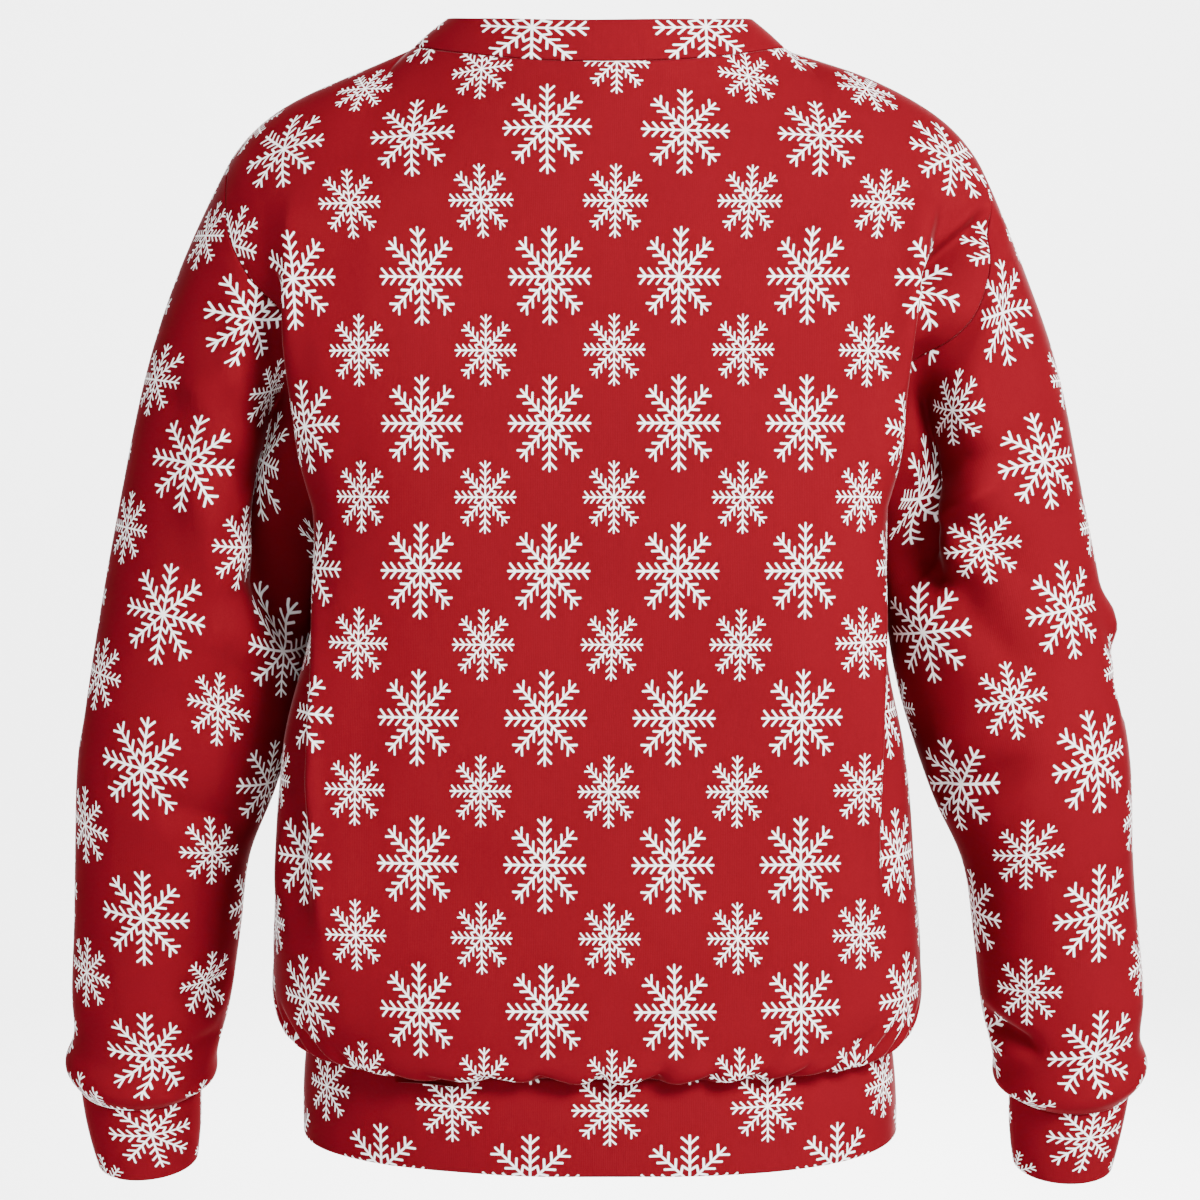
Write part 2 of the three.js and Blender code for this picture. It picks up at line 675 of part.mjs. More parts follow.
function wallGeometry(patch, normalAt) {
  const { grid, closed, facing, thickness } = patch;
  const columns = grid[0].length;
  const normals = grid.map((line) => line.map((point) => normalAt(point)));
  const outer = grid.map((line) => line.map((point) => point.clone()));
  const loops = edgeLoops(patch);
  for (const loop of loops) {
    const moved = pullBackFromSeams(patch, loop, normalAt);
    loop.forEach(({ row, column }, index) => outer[row][column].copy(moved[index]));
  }
  const positions = [];
  outer.forEach((line) => line.forEach((point) => positions.push(point.x, point.y, point.z)));
  const inner = outer.map((line, row) => line.map((point, column) => {
    const depth = isSewn(patch, row) ? CLOTH_THICKNESS : thickness;
    return point.clone().addScaledVector(normals[row][column], -depth);
  }));
  inner.forEach((line) => line.forEach((point) => positions.push(point.x, point.y, point.z)));
  const vertex = (row, column) => row * columns + column % columns;
  const innerStart = grid.length * columns;
  const indices = [];
  const addQuad = (a, b, c, d) => {
    if (facing > 0) {
      indices.push(a, b, c, a, c, d);
    } else {
      indices.push(a, c, b, a, d, c);
    }
  };
  for (let row = 0; row + 1 < grid.length; row += 1) {
    for (let column = 0; column < (closed ? columns : columns - 1); column += 1) {
      const corners = [
        vertex(row, column),
        vertex(row, column + 1),
        vertex(row + 1, column + 1),
        vertex(row + 1, column),
      ];
      addQuad(...corners);
      const inside = corners.map((corner) => corner + innerStart);
      addQuad(inside[3], inside[2], inside[1], inside[0]);
    }
  }
  // Both pieces at a seam split their facing rims along the same, shorter diagonal.
  for (const loop of loops) {
    loop.forEach(({ row, column }, index) => {
      const next = loop[(index + 1) % loop.length];
      const start = vertex(row, column);
      const end = vertex(next.row, next.column);
      const rim = [end, start, start + innerStart, end + innerStart];
      const fromEnd = outer[next.row][next.column].distanceTo(inner[row][column]);
      const fromStart = outer[row][column].distanceTo(inner[next.row][next.column]);
      if (fromEnd > fromStart) {
        rim.push(rim.shift());
      }
      addQuad(...rim);
    });
  }
  const geometry = new THREE.BufferGeometry();
  geometry.setAttribute('position', new THREE.Float32BufferAttribute(positions, 3));
  geometry.setIndex(indices);
  return geometry;
}

// -------------------------------------------------------------------------- assembly

function jerseyMaterial() {
  return new THREE.MeshStandardMaterial({ color: 0xae2428, roughness: 0.78, metalness: 0 });
}

function makeSweatshirt() {
  const patches = [
    panelPatch('back', 1),
    panelPatch('front', -1),
    sleevePatch('left_sleeve', 1),
    sleevePatch('right_sleeve', -1),
    neckBandPatch(),
    hemBandPatch(),
    cuffPatch('left_cuff', 1),
    cuffPatch('right_cuff', -1),
  ];
  foldPatches(patches);
  const normalAt = sharedNormals(patches);
  const sweatshirt = new THREE.Group();
  for (const patch of patches) {
    const piece = new THREE.Mesh(wallGeometry(patch, normalAt), jerseyMaterial());
    piece.name = patch.name;
    sweatshirt.add(piece);
  }
  return sweatshirt;
}

export default makeSweatshirt();
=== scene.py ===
"""Crew-neck sweatshirt in printed jersey, in its worn shape with nobody inside.

The file is laid out as a Blender add-on. The wearer faces -Y and their left side is +X.
The origin lies midway between the neck ends of the two shoulder seams. Tables and cloth
surfaces are in millimetres, and MM turns them into Blender's metres.
"""

import functools
import math
from dataclasses import dataclass

import bpy
import numpy as np
from bpy.props import FloatProperty, FloatVectorProperty, IntProperty, PointerProperty
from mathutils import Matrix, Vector


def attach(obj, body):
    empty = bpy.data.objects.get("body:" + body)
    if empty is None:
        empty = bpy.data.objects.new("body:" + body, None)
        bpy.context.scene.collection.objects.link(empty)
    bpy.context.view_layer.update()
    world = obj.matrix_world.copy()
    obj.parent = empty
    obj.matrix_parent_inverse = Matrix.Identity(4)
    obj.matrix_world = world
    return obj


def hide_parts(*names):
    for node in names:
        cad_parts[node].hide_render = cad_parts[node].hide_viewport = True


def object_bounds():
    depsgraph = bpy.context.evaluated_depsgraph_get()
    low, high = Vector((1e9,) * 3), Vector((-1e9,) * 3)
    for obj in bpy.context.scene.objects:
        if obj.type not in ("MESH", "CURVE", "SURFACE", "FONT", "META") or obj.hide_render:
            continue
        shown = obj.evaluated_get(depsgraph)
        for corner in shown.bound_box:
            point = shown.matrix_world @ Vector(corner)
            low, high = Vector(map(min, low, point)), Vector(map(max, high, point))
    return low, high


bl_info = {
    "name": "Snowflake Sweatshirt",
    "version": (1, 0, 0),
    "blender": (4, 5, 0),
    "location": "View3D > Sidebar > Sweatshirt",
    "description": "Builds a filled-out sweatshirt from sewn jersey panels and folded bands",
    "category": "Object",
}

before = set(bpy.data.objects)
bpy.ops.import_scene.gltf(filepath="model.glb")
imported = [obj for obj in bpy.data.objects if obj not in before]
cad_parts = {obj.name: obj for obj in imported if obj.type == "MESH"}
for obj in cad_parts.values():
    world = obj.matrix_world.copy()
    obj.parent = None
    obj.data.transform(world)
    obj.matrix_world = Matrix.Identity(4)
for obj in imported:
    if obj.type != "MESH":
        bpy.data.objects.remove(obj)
cad_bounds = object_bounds()

MM = 0.001
# Room for rounding where rows are compared, and the least length a vector is taken to have.
ROW_SLACK = 1e-9
LEAST_LENGTH = 1e-12


# ------------------------------------------------------------------------ sizes


def named_rows(columns, rows):
    """A table's rows as dictionaries with its columns' names."""
    return [dict(zip(columns, row)) for row in rows]


def piece_rows(columns, rows):
    """The same for a table with one row for each piece, found by the piece's name."""
    return {piece: dict(zip(columns, row)) for piece, *row in rows}


NECK_HALF_WIDTH = 123
NECK_SEAM_Y = 2
NECK_DEPTH = {"back": 76, "front": 98}
NECK_DROP = {"back": 21, "front": 90}
NECK_DROP_POWER = 1.6

SHOULDER_X = 246
SHOULDER_Y = 3
SHOULDER_SLOPE_DROP = 52
SHOULDER_ROLL_DROP = 22
SHOULDER_ROLL_POWER = 6

# The neck band rises from its seam and leans towards the neck.
NECK_BAND = {
    "back": {"rise": 28, "lean": 8},
    "side": {"rise": 19, "lean": 23},
    "front": {"rise": 24, "lean": 12},
}
BAND_BARREL = 1.2

# Each panel's table columns run from edge to edge, and the outer ones at each end lie on
# a shoulder seam. The rest lie on the neck seam.
PANEL_COLUMNS = 46
SHOULDER_COLUMNS = 10
NECK_SHARE = 1 - 2 * SHOULDER_COLUMNS / PANEL_COLUMNS
# Shares of a panel's half width: how far on each side of the neck's end its top edge turns
# from the neck to the shoulder, and where its underarm starts to turn to the armhole.
NECK_END_EASE = 0.3
UNDERARM_EASE_FROM = 0.6
# How much the armhole climbs at the underarm for each step towards the back or the front.
ARMHOLE_CLIMB = 0.25

# Level sections of the body, from the hem seam up. "edge" is the side seam, and the
# armhole above the underarm. back_y and front_y are the middle of each panel. "wrap" is
# how far the panel turns round its ellipse, in degrees, before it meets its edge,
# "corner" fills out the turn from back to side, and "shift" moves the section towards the
# wearer's left. On the back, each edge is drawn in by its "tuck" and wraps further by
# its "turn". "rows" is the table rows up to the next section.
BODY_SECTIONS = named_rows(
    ("rows", "edge_x", "edge_y", "edge_z", "back_y", "back_z", "front_y", "front_z",
     "wrap", "corner", "shift", "left_tuck", "left_turn", "right_tuck", "right_turn"),
    (
        (1, 196, 0, -660, 122, -660, 117, -660, 90, 0.10, 0, 0, 0, 0, 0),
        (2, 199, 0, -655, 134, -657, 129, -657, 90, 0.12, 1, 0, 0, 0, 0),
        (2, 214, 0, -633, 140, -636, 135, -636, 90, 0.22, 1, 0, 0, 0, 0),
        (2, 215, 0, -595, 139, -595, 135, -595, 90, 0.34, 2, 0, 0, 0, 0),
        (2, 210, 0, -530, 136, -530, 133, -530, 90, 0.40, 3, 0, 0, 0, 0),
        (2, 203, 0, -455, 133, -455, 132, -455, 90, 0.42, 3, 0, 0, 0, 0),
        (2, 188, 0, -375, 132, -375, 133, -375, 90, 0.42, 1, 0, 0, 0, 0),
        (2, 186, 0, -302, 131, -302, 135, -302, 88, 0.42, 0, 0, 0, 0, 0),
        (2, 198, 34, -277, 129, -256, 134, -260, 78, 0.42, 0, 6, 6, 4, 4),
        (2, 225, 60, -231, 124, -203, 130, -217, 62, 0.40, 0, 30, 18, 24, 15),
        (2, 244, 70, -180, 114, -145, 124, -174, 50, 0.42, 0, 34, 20, 7, 5),
        (4, 252, 58, -126, 98, -85, 113, -133, 44, 0.25, 0, 14, 6, 0, 0),
    ),
)
UNDERARM_SECTION = 7
HEM_BAND_HEIGHT = 61
HEM_BAND_FLARE = 4

# Sections of one sleeve, from the upper arm to the cuff seam, each square to the run of
# the sleeve. The stretch from the armhole to the upper arm has rows of its own.
ARMHOLE_ROWS = 8
SLEEVE_SECTIONS = named_rows(
    ("rows", "x", "y", "z", "half_width", "half_depth"),
    (
        (2, 262, -20, -345, 71, 67),
        (2, 274, -20, -425, 73, 67),
        (2, 288, -24, -480, 68, 65),
        (1, 301, -31, -535, 59, 60),
        (2, 307.5, -39, -590, 57, 56),
        (2, 314.5, -50, -647, 54.5, 53),
        (1, 319.5, -57, -681, 50, 49),
        (1, 323.5, -60, -697, 52, 51),
        (0, 324, -63, -711, 41, 39),
    ),
)
CUFF_END = {"x": 322.5, "y": -74, "z": -768, "half_width": 35, "half_depth": 33}
CUFF_HEIGHT = 58
# The right sleeve stands further out than the left one below the elbow.
RIGHT_SLEEVE_SPREAD = {"distance": 4, "from_z": -380, "full_z": -520}
# Directions in which the sleeve leaves the armhole, at the underarm and at the shoulder.
UNDERARM_FLOW = np.array((0.22, -0.5, -0.84))
SHOULDER_FLOW = np.array((0.48, 0, -0.88))

# Fine grid steps for one row or column of the tables above.
PANEL_ROW_STEPS = 7
PANEL_COLUMN_STEPS = 5
SLEEVE_ROW_STEPS = 8
# Shares of one fine step at which a sewn edge has rows of its own.
EDGE_SHARES = (0.3, 0.65)
# Pieces of a single layer. The others are folded bands.
PANELS = ("back", "front")
SINGLE_LAYERS = (*PANELS, "left_sleeve", "right_sleeve")
# Steps in a millimetre to which the points of a common seam are matched.
SEAM_MATCH_STEPS = 20

# How a sewn edge turns in: the radius of the turn, the room left at the seam, and the
# depths of the seam allowance behind it.
EDGE_RADIUS = 0.8
SEAM_ROOM = 0.15
ALLOWANCE_DEPTHS = (2.2, 5.0)
# A band is one strip folded double round this radius, in this many steps. Its rows stand
# this far apart, and its inner layer stops this far short of the seam.
FOLD_RADIUS = 1.75
BAND_FOLD_STEPS = 8
BAND_ROW = 3.0
INNER_LAYER_END = 1.5


# ------------------------------------------------------------------------ folds

# Each fold follows a path of (across, height) points as seen square on from its face:
# "across" is x on the back and front, and y on the two sides. "near" and "far" are the
# fold's widths on its two flanks, to the left and right of someone who walks the path.
# A trough has a negative depth and a ridge a positive one. "crisp" is 0 for a soft fold
# and towards 1 for a pressed one, and "fade" is the shares of the path over which the
# fold comes up at its start and dies away at its end.
FOLDS = named_rows(
    ("part", "face", "path", "near", "far", "depth", "crisp", "fade"),
    (
        # Between each sleeve and the body, from the shoulder blade down to the underarm.
        ("all", "back", ((206, -140), (204, -205), (199, -268)), 12, 7, -14, 0.4, (0.3, 0.3)),
        ("all", "back", ((-224, -96), (-215, -150), (-206, -210), (-200, -268)),
         8, 15, -18, 0.4, (0.3, 0.3)),
        ("all", "back", ((-254, -110), (-230, -132), (-212, -151), (-197, -166)),
         4, 16, -14, 0.75, (0.2, 0.3)),
        ("all", "front", ((216, -100), (208, -170), (203, -262)), 10, 17, -16, 0.2, (0.35, 0.3)),
        ("all", "front", ((-216, -100), (-208, -170), (-203, -262)),
         17, 10, -16, 0.2, (0.35, 0.3)),
        # Sharp upright folds where the flat back turns to the sides.
        ("all", "back", ((193, -96), (193, -160), (193, -232), (187, -272), (180, -310)),
         9, 16, 5, 0.75, (0.15, 0.25)),
        ("body", "back", ((189, -262), (180, -305), (173, -392), (176, -440), (177.5, -471),
         (175.5, -518), (172, -555), (166, -606)), 9, 16, 5, 0.75, (0.12, 0.2)),
        ("all", "back", ((-216, -104), (-207, -128), (-204, -141), (-196, -178), (-192, -234),
         (-186, -285), (-181, -320)), 16, 9, 5, 0.75, (0.1, 0.25)),
        ("body", "back", ((-188, -268), (-179.5, -335), (-177.5, -373), (-174, -420), (-173, -480),
         (-174, -560)), 16, 9, 4.5, 0.75, (0.15, 0.4)),
        ("body", "back", ((186, -455), (193, -485), (198, -500), (204, -540), (206, -568)),
         8, 10, 3.5, 0.6, (0.25, 0.3)),
        ("body", "back", ((188, -310), (184, -390), (187, -470), (184, -530), (180, -590)),
         13, 5, -9, 0.3, (0.2, 0.4)),
        ("body", "back", ((-188, -330), (-186, -400), (-183, -480), (-185, -580)),
         5, 13, -9, 0.3, (0.2, 0.4)),
        ("body", "front", ((186, -250), (178, -330), (174, -430), (168, -560)),
         9, 15, 4.5, 0.7, (0.2, 0.3)),
        ("body", "front", ((-190, -240), (-180, -340), (-174, -460), (-166, -590)),
         15, 9, 5, 0.7, (0.2, 0.3)),
        ("body", "front", ((194, -390), (200, -470), (203, -560)), 9, 9, -4, 0.3, (0.3, 0.4)),
        ("body", "front", ((60, -560), (96, -516), (118, -480)), 14, 18, -3, 0.0, (0.4, 0.4)),
        # The hollow where each sleeve goes in behind the body.
        ("left arm", "back", ((203, -205), (206, -255), (208, -300), (206, -350), (204, -405)),
         20, 14, -38, 0.2, (0.25, 0.25)),
        ("right arm", "back", ((-200, -215), (-206, -250), (-207, -285), (-203, -325),
         (-200, -372)), 12, 18, -30, 0.2, (0.25, 0.25)),
        ("left arm", "back", ((222, -214), (246, -222), (272, -238)), 15, 13, 6, 0.1, (0.3, 0.4)),
        ("left arm", "back", ((220, -300), (240, -280), (264, -262)), 12, 14, -9, 0.3, (0.2, 0.5)),
        ("left arm", "back", ((214, -345), (240, -362), (276, -372)), 14, 12, -8, 0.3, (0.2, 0.5)),
        ("right arm", "back", ((-209, -318), (-233, -298), (-264, -280)),
         11, 10, 9, 0.5, (0.2, 0.4)),
        ("right arm", "back", ((-214, -290), (-238, -274), (-264, -262)),
         9, 12, -6, 0.3, (0.2, 0.5)),
        ("right arm", "back", ((-204, -352), (-232, -353), (-264, -342)),
         12, 12, -9, 0.4, (0.2, 0.5)),
        ("right arm", "back", ((-246, -120), (-243, -155), (-250, -200), (-262, -240)),
         14, 12, 5, 0.2, (0.3, 0.5)),
        # Drag lines from the underarm into each sleeve, and the bend of the elbow.
        ("right arm", "back", ((-216, -300), (-252, -330), (-292, -352)),
         10, 13, -6, 0.3, (0.2, 0.5)),
        ("right arm", "back", ((-226, -352), (-262, -394), (-300, -424)),
         12, 15, -6, 0.2, (0.2, 0.5)),
        ("right arm", "back", ((-222, -488), (-252, -482), (-290, -462)),
         10, 13, -7, 0.3, (0.1, 0.5)),
        ("right arm", "right", ((-32, -362), (-20, -381), (-8, -398)), 18, 18, 8, 0.2, (0.4, 0.4)),
        ("right arm", "right", ((-16, -408), (-20, -427), (-24, -446)),
         16, 16, -9, 0.2, (0.4, 0.4)),
        ("left arm", "back", ((218, -304), (256, -344), (286, -372)), 13, 10, -6, 0.3, (0.2, 0.5)),
        ("left arm", "back", ((226, -400), (262, -436), (290, -462)), 15, 12, -6, 0.2, (0.2, 0.5)),
        ("left arm", "back", ((236, -512), (268, -506), (304, -488)), 13, 10, -5, 0.3, (0.1, 0.5)),
        ("left arm", "left", ((-40, -402), (-30, -436), (-24, -470)), 22, 22, -4, 0.0, (0.4, 0.4)),
        ("right arm", "front", ((-220, -316), (-256, -350), (-296, -376)),
         13, 13, -6, 0.2, (0.2, 0.5)),
        ("right arm", "front", ((-236, -520), (-290, -505), (-346, -470)),
         12, 14, -8, 0.2, (0.2, 0.4)),
        ("left arm", "front", ((220, -320), (256, -352), (292, -384)),
         13, 13, -6, 0.2, (0.2, 0.5)),
        ("left arm", "front", ((240, -524), (292, -508), (346, -478)),
         14, 12, -8, 0.2, (0.2, 0.4)),
        # The sleeve ends that bag over the cuffs.
        ("right arm", "back", ((-254, -655), (-276, -664), (-302, -679)),
         5, 8, -9, 0.5, (0.1, 0.4)),
        ("left arm", "back", ((250, -628), (270, -634), (294, -646)), 10, 8, -6, 0.3, (0.1, 0.5)),
        ("left arm", "back", ((286, -676), (272, -673), (262, -672)), 8, 8, -4, 0.2, (0.4, 0.1)),
    ),
)
FOLD_PATH_STEPS = 10
# Raised lips beside each fold: their share of its depth, and their distance from its line
# and their spread in its widths.
LIP_SHARE = 0.22
LIP_PLACE = 2.1
LIP_SPREAD = 0.9
# A fold counts for nothing beyond this many of its widths, nor where the cloth faces away:
# it comes up between these cosines of the angle between the cloth and the fold's face.
FOLD_REACH = 4
FOLD_FACING = (-0.1, 0.4)
# Distances from a seam in which the folds of one part come up, and in which the cloth's
# direction turns from the one shared at the seam to its own.
FOLD_SEAM_ROOM = 14
SEAM_EASE = 12

# The gathers round the body above the hem seam. They stand further apart at the middle of
# the back and the front, waver a little on the way round, and lean out to the sides as they
# rise.
GATHER_SPREAD = 12
GATHER_WAVER = {"size": 0.9, "waves": 3, "start": 0.5}
GATHER_LEAN = 0.0038
GATHER_LEAN_REACH = 38
# A gather is at its full depth from this height, and starts to die away at this share of
# its length, which lies between the shortest and the longest.
GATHER_FULL_AT = 9
GATHER_FADE_FROM = 0.25
GATHER_LENGTHS = (26, 60)
# The shallowest gather's depth, and the rise of the cloth between two, against the depth of
# the deepest.
GATHER_LEAST_DEPTH = 0.45
GATHER_SWELL = 0.22
# Half widths of a gather's valley, on its side towards the middle and its outer side, and
# how square its bottom is.
GATHER_FLANKS = (0.26, 0.13)
GATHER_VALLEY_POWER = 1.5
# Rates and starts of the scatter of lengths and depths from one gather to the next.
GATHER_SCATTER = {"length": (12.9898, 4.1), "depth": (7.233, 1.7)}
# The soft roll of cloth that the band draws in: its height, where it is fullest above the
# seam and its half width.
HEM_ROLL = {"height": 3, "rise": 21, "spread": 11}

# Wide, shallow unevenness of the whole garment: wave lengths along x, y and z, the wave's
# start and its height.
WAVES = named_rows(
    ("length_x", "length_y", "length_z", "start", "height"),
    (
        (310, 420, 260, 0.4, 0.9),
        (-190, 260, 340, 1.9, 0.7),
        (140, -310, 170, 4.1, 0.5),
        (-95, 150, -210, 2.7, 0.3),
    ),
)


# ------------------------------------------------------------------------ print

# Where the print lies on each piece: the shift of the repeat across and up, and how far
# the worn cloth stretches it across and up.
PRINT_PLACES = piece_rows(
    ("across", "up", "wide", "tall"),
    (
        ("back", 28.8, -23.3, 0.995, 1.004),
        ("front", 0, 20, 1.0, 1.0),
        ("left_sleeve", -91, 29.5, 1.205, 1.107),
        ("right_sleeve", 66, 30.8, 1.27, 1.10),
        ("neck_band", 42.3, -22, 1.43, 1.0),
        ("hem_band", 41.7, -26.5, 1.258, 1.0),
        ("left_cuff", -73.8, 20, 1.17, 0.94),
        ("right_cuff", 52.3, 19.3, 1.17, 0.94),
    ),
)
# The chest stretches the print on the panels across, and draws it up by "lift".
CHEST_STRETCH = {"share": 0.10, "lift": 8, "from_height": -180, "full_height": -45}
# Places where the cloth is pulled out of line: a point on the cut, how far the pull
# reaches round it and how far it moves the print there.
PRINT_PULLS = named_rows(
    ("piece", "across", "up", "reach", "pull_across", "pull_up"),
    (
        ("right_sleeve", -101, 169, 42, 33, 0),
        ("right_sleeve", -151, 110, 38, 27, 8),
        ("right_sleeve", -222, 53, 38, 52, 14),
        ("left_sleeve", 126, 172, 44, -34, 0),
        ("left_sleeve", 177, -45, 36, 9, 14),
    ),
)

# The flake's drawing, in lengths of one arm. Three pairs of barbs lean out from each arm,
# and a star of eight loops sits round the middle.
FLAKE_ARMS = 8
ARM_HALF_STROKE = 0.023
BARB_FIRST = 0.40
BARB_STEP = 0.205
BARB_COUNT = 3
BARB_RUN = (0.145, 0.155)
STAR_INNER = 0.25
STAR_OUTER = 0.375
STROKE_SOFTNESS = 0.006


# ----------------------------------------------------------------------- finish

# A knit loop leans by this many courses over one wale, and its height rises and falls by
# this share along it.
LOOP_LEAN = 1.1
LOOP_RELIEF = 0.3

# Noise scales and details, through the garment's own space. The speckle is the fibres' and
# the mottle the dye's. The crumple is a soft unevenness too small for the folds.
SPECKLE = {"Scale": 900, "Detail": 2}
MOTTLE = {"Scale": 16, "Detail": 3}
CRUMPLE = {"Scale": 38, "Detail": 2}
FLOOR_MOTTLE = {"Scale": 3, "Detail": 2}
# Bump strengths, and heights in metres.
STITCH_BUMP = {"Strength": 0.35, "Distance": 0.00012}
CRUMPLE_BUMP = {"Strength": 0.25, "Distance": 0.0012}

# How far the noises lighten and darken the dye and the ink, and the range of roughness.
MOTTLE_SHADES = (0.93, 1.07)
SPECKLE_SHADES = (0.90, 1.10)
INK_SHADES = (0.95, 1.03)
CLOTH_ROUGHNESS = (0.60, 0.70)
INK_ROUGHNESS_CHANGE = -0.04
FLOOR_ROUGHNESS = (0.85, 0.95)
FLOOR_SPECULAR = 0.1
# How closely the sheen keeps to the cloth's grazing edges, and its softness and tint.
SHEEN_POWER = 4
SHEEN_ROUGHNESS = 0.25
SHEEN_TINT = (1.0, 0.72, 0.72, 1)


# ------------------------------------------------------------------- settings


class SweatshirtCloth(bpy.types.PropertyGroup):
    thickness: FloatProperty(
        name="Cloth thickness",
        description="Thickness of one layer of jersey",
        default=0.0009,
        min=0.0004,
        max=0.002,
        precision=4,
        unit="LENGTH",
    )
    colour: FloatVectorProperty(
        name="Cloth colour",
        description="Dyed colour of the jersey",
        default=(0.109, 0.0039, 0.0072),
        min=0,
        max=1,
        subtype="COLOR",
    )
    reverse_colour: FloatVectorProperty(
        name="Reverse colour",
        description="Colour of the inside of the cloth, which has no print",
        default=(0.09, 0.0022, 0.0042),
        min=0,
        max=1,
        subtype="COLOR",
    )
    sheen: FloatProperty(
        name="Sheen",
        description="Strength of the nap's glow at grazing angles",
        default=0.25,
        min=0,
        max=1,
        subtype="FACTOR",
    )
    wale: FloatProperty(
        name="Wale",
        description="Width of one column of knit stitches",
        default=0.0011,
        precision=4,
        unit="LENGTH",
    )
    course: FloatProperty(
        name="Course",
        description="Height of one row of knit stitches",
        default=0.0009,
        precision=4,
        unit="LENGTH",
    )


class SweatshirtPrint(bpy.types.PropertyGroup):
    colour: FloatVectorProperty(
        name="Print colour",
        description="Colour of the snowflakes",
        default=(0.92, 0.92, 0.92),
        min=0,
        max=1,
        subtype="COLOR",
    )
    repeat_width: FloatProperty(
        name="Repeat width",
        description="Distance between large snowflakes in one row",
        default=0.0797,
        precision=4,
        unit="LENGTH",
    )
    repeat_height: FloatProperty(
        name="Repeat height",
        description="Distance between large snowflakes in one column",
        default=0.0905,
        precision=4,
        unit="LENGTH",
    )
    arm_length: FloatProperty(
        name="Arm length",
        description="Length of a sideways arm of the large snowflake",
        default=0.0251,
        precision=4,
        unit="LENGTH",
    )
    arm_stretch: FloatProperty(
        name="Upright stretch",
        description="How much taller than wide each snowflake is drawn",
        default=1.164,
        subtype="FACTOR",
    )
    small_share: FloatProperty(
        name="Small snowflake",
        description="Size of the small snowflake against the large one",
        default=0.75,
        subtype="FACTOR",
    )


class SweatshirtFolds(bpy.types.PropertyGroup):
    strength: FloatProperty(
        name="Fold strength",
        description="Scales the depth of every fold",
        default=1.0,
        min=0,
        max=1.5,
        subtype="FACTOR",
    )
    gather_count: IntProperty(
        name="Hem gathers",
        description="Number of gathers all round above the hem band",
        default=46,
        min=8,
        max=80,
    )
    gather_depth: FloatProperty(
        name="Gather depth",
        description="Depth of the deepest gather",
        default=0.0085,
        precision=4,
        unit="LENGTH",
    )


class SweatshirtStage(bpy.types.PropertyGroup):
    floor_drop: FloatProperty(
        name="Shoulder height",
        description="Height of the garment's origin above the floor",
        default=1.42,
        unit="LENGTH",
    )
    floor_colour: FloatVectorProperty(
        name="Floor colour",
        description="Colour of the floor and the sweep behind it",
        default=(0.86, 0.86, 0.86),
        min=0,
        max=1,
        subtype="COLOR",
    )
    camera_distance: FloatProperty(
        name="Camera distance",
        description="Distance from the camera to the garment's upright axis",
        default=1.640,
        unit="LENGTH",
    )
    camera_height: FloatProperty(
        name="Camera height",
        description="Height of the camera above the garment's origin",
        default=-0.272,
        unit="LENGTH",
    )
    camera_turn: FloatProperty(
        name="Camera turn",
        description="Angle of the camera round the garment, away from straight behind",
        default=math.radians(1.0),
        subtype="ANGLE",
    )
    camera_pitch: FloatProperty(
        name="Camera pitch",
        description="Angle by which the camera looks down",
        default=math.radians(3.26),
        subtype="ANGLE",
    )
    lens: FloatProperty(
        name="Lens",
        description="Focal length in millimetres",
        default=73.65,
    )


# ----------------------------------------------------------- curves and vectors


def mix(start, end, share):
    return start + (end - start) * share


def smooth_step(value, low, high):
    share = np.clip((value - low) / (high - low), 0, 1)
    return share * share * (3 - 2 * share)


def lengths(arrows):
    return np.linalg.norm(arrows, axis=-1, keepdims=True)


def unit(arrows):
    return arrows / np.maximum(lengths(arrows), LEAST_LENGTH)


def stack(x, y, z):
    return np.stack(np.broadcast_arrays(x, y, z), axis=-1).astype(float)


def station_direction(before, at, after):
    """Direction of a curve at a station, weighted towards the nearer neighbour."""
    into = at - before
    out_of = after - at
    length_in = lengths(into)
    length_out = lengths(out_of)
    return unit(into * length_out / length_in + out_of * length_in / length_out)


def cubic_point(start, end, start_direction, end_direction, share):
    """Point on the cubic that leaves and arrives in the given directions."""
    chord = lengths(end - start)
    square = share * share
    cube = square * share
    return (
        start * (2 * cube - 3 * square + 1)
        + start_direction * chord * (cube - 2 * square + share)
        + end * (3 * square - 2 * cube)
        + end_direction * chord * (cube - square)
    )


def locate_row(row_counts, row):
    """The section that a table row lies in, and its share of the way to the next one."""
    first = 0
    for index, rows in enumerate(row_counts):
        if row <= first + rows + ROW_SLACK:
            return index, (row - first) / rows
        first += rows
    return len(row_counts) - 1, 1.0


def run_lengths(points, axis):
    """Distance run along a grid from its first row (axis 0) or column (axis 1)."""
    steps = np.linalg.norm(np.diff(points, axis=axis), axis=-1)
    start = np.zeros_like(np.take(steps, [0], axis=axis))
    return np.concatenate((start, np.cumsum(steps, axis=axis)), axis=axis)


def fine_stations(count, steps, first, last):
    """Stations from 0 to count, with closer ones next to a sewn first or last edge."""
    stations = [np.arange(count * steps + 1) / steps]
    shares = np.array(EDGE_SHARES) / steps
    if first:
        stations.append(shares)
    if last:
        stations.append(count - shares)
    return np.sort(np.concatenate(stations))


# ---------------------------------------------------------------- body surface

BODY_ROW_COUNTS = [section["rows"] for section in BODY_SECTIONS]
BODY_ROWS = sum(BODY_ROW_COUNTS)
UNDERARM_ROW = sum(BODY_ROW_COUNTS[:UNDERARM_SECTION])


def panel_name(side):
    return "back" if side > 0 else "front"


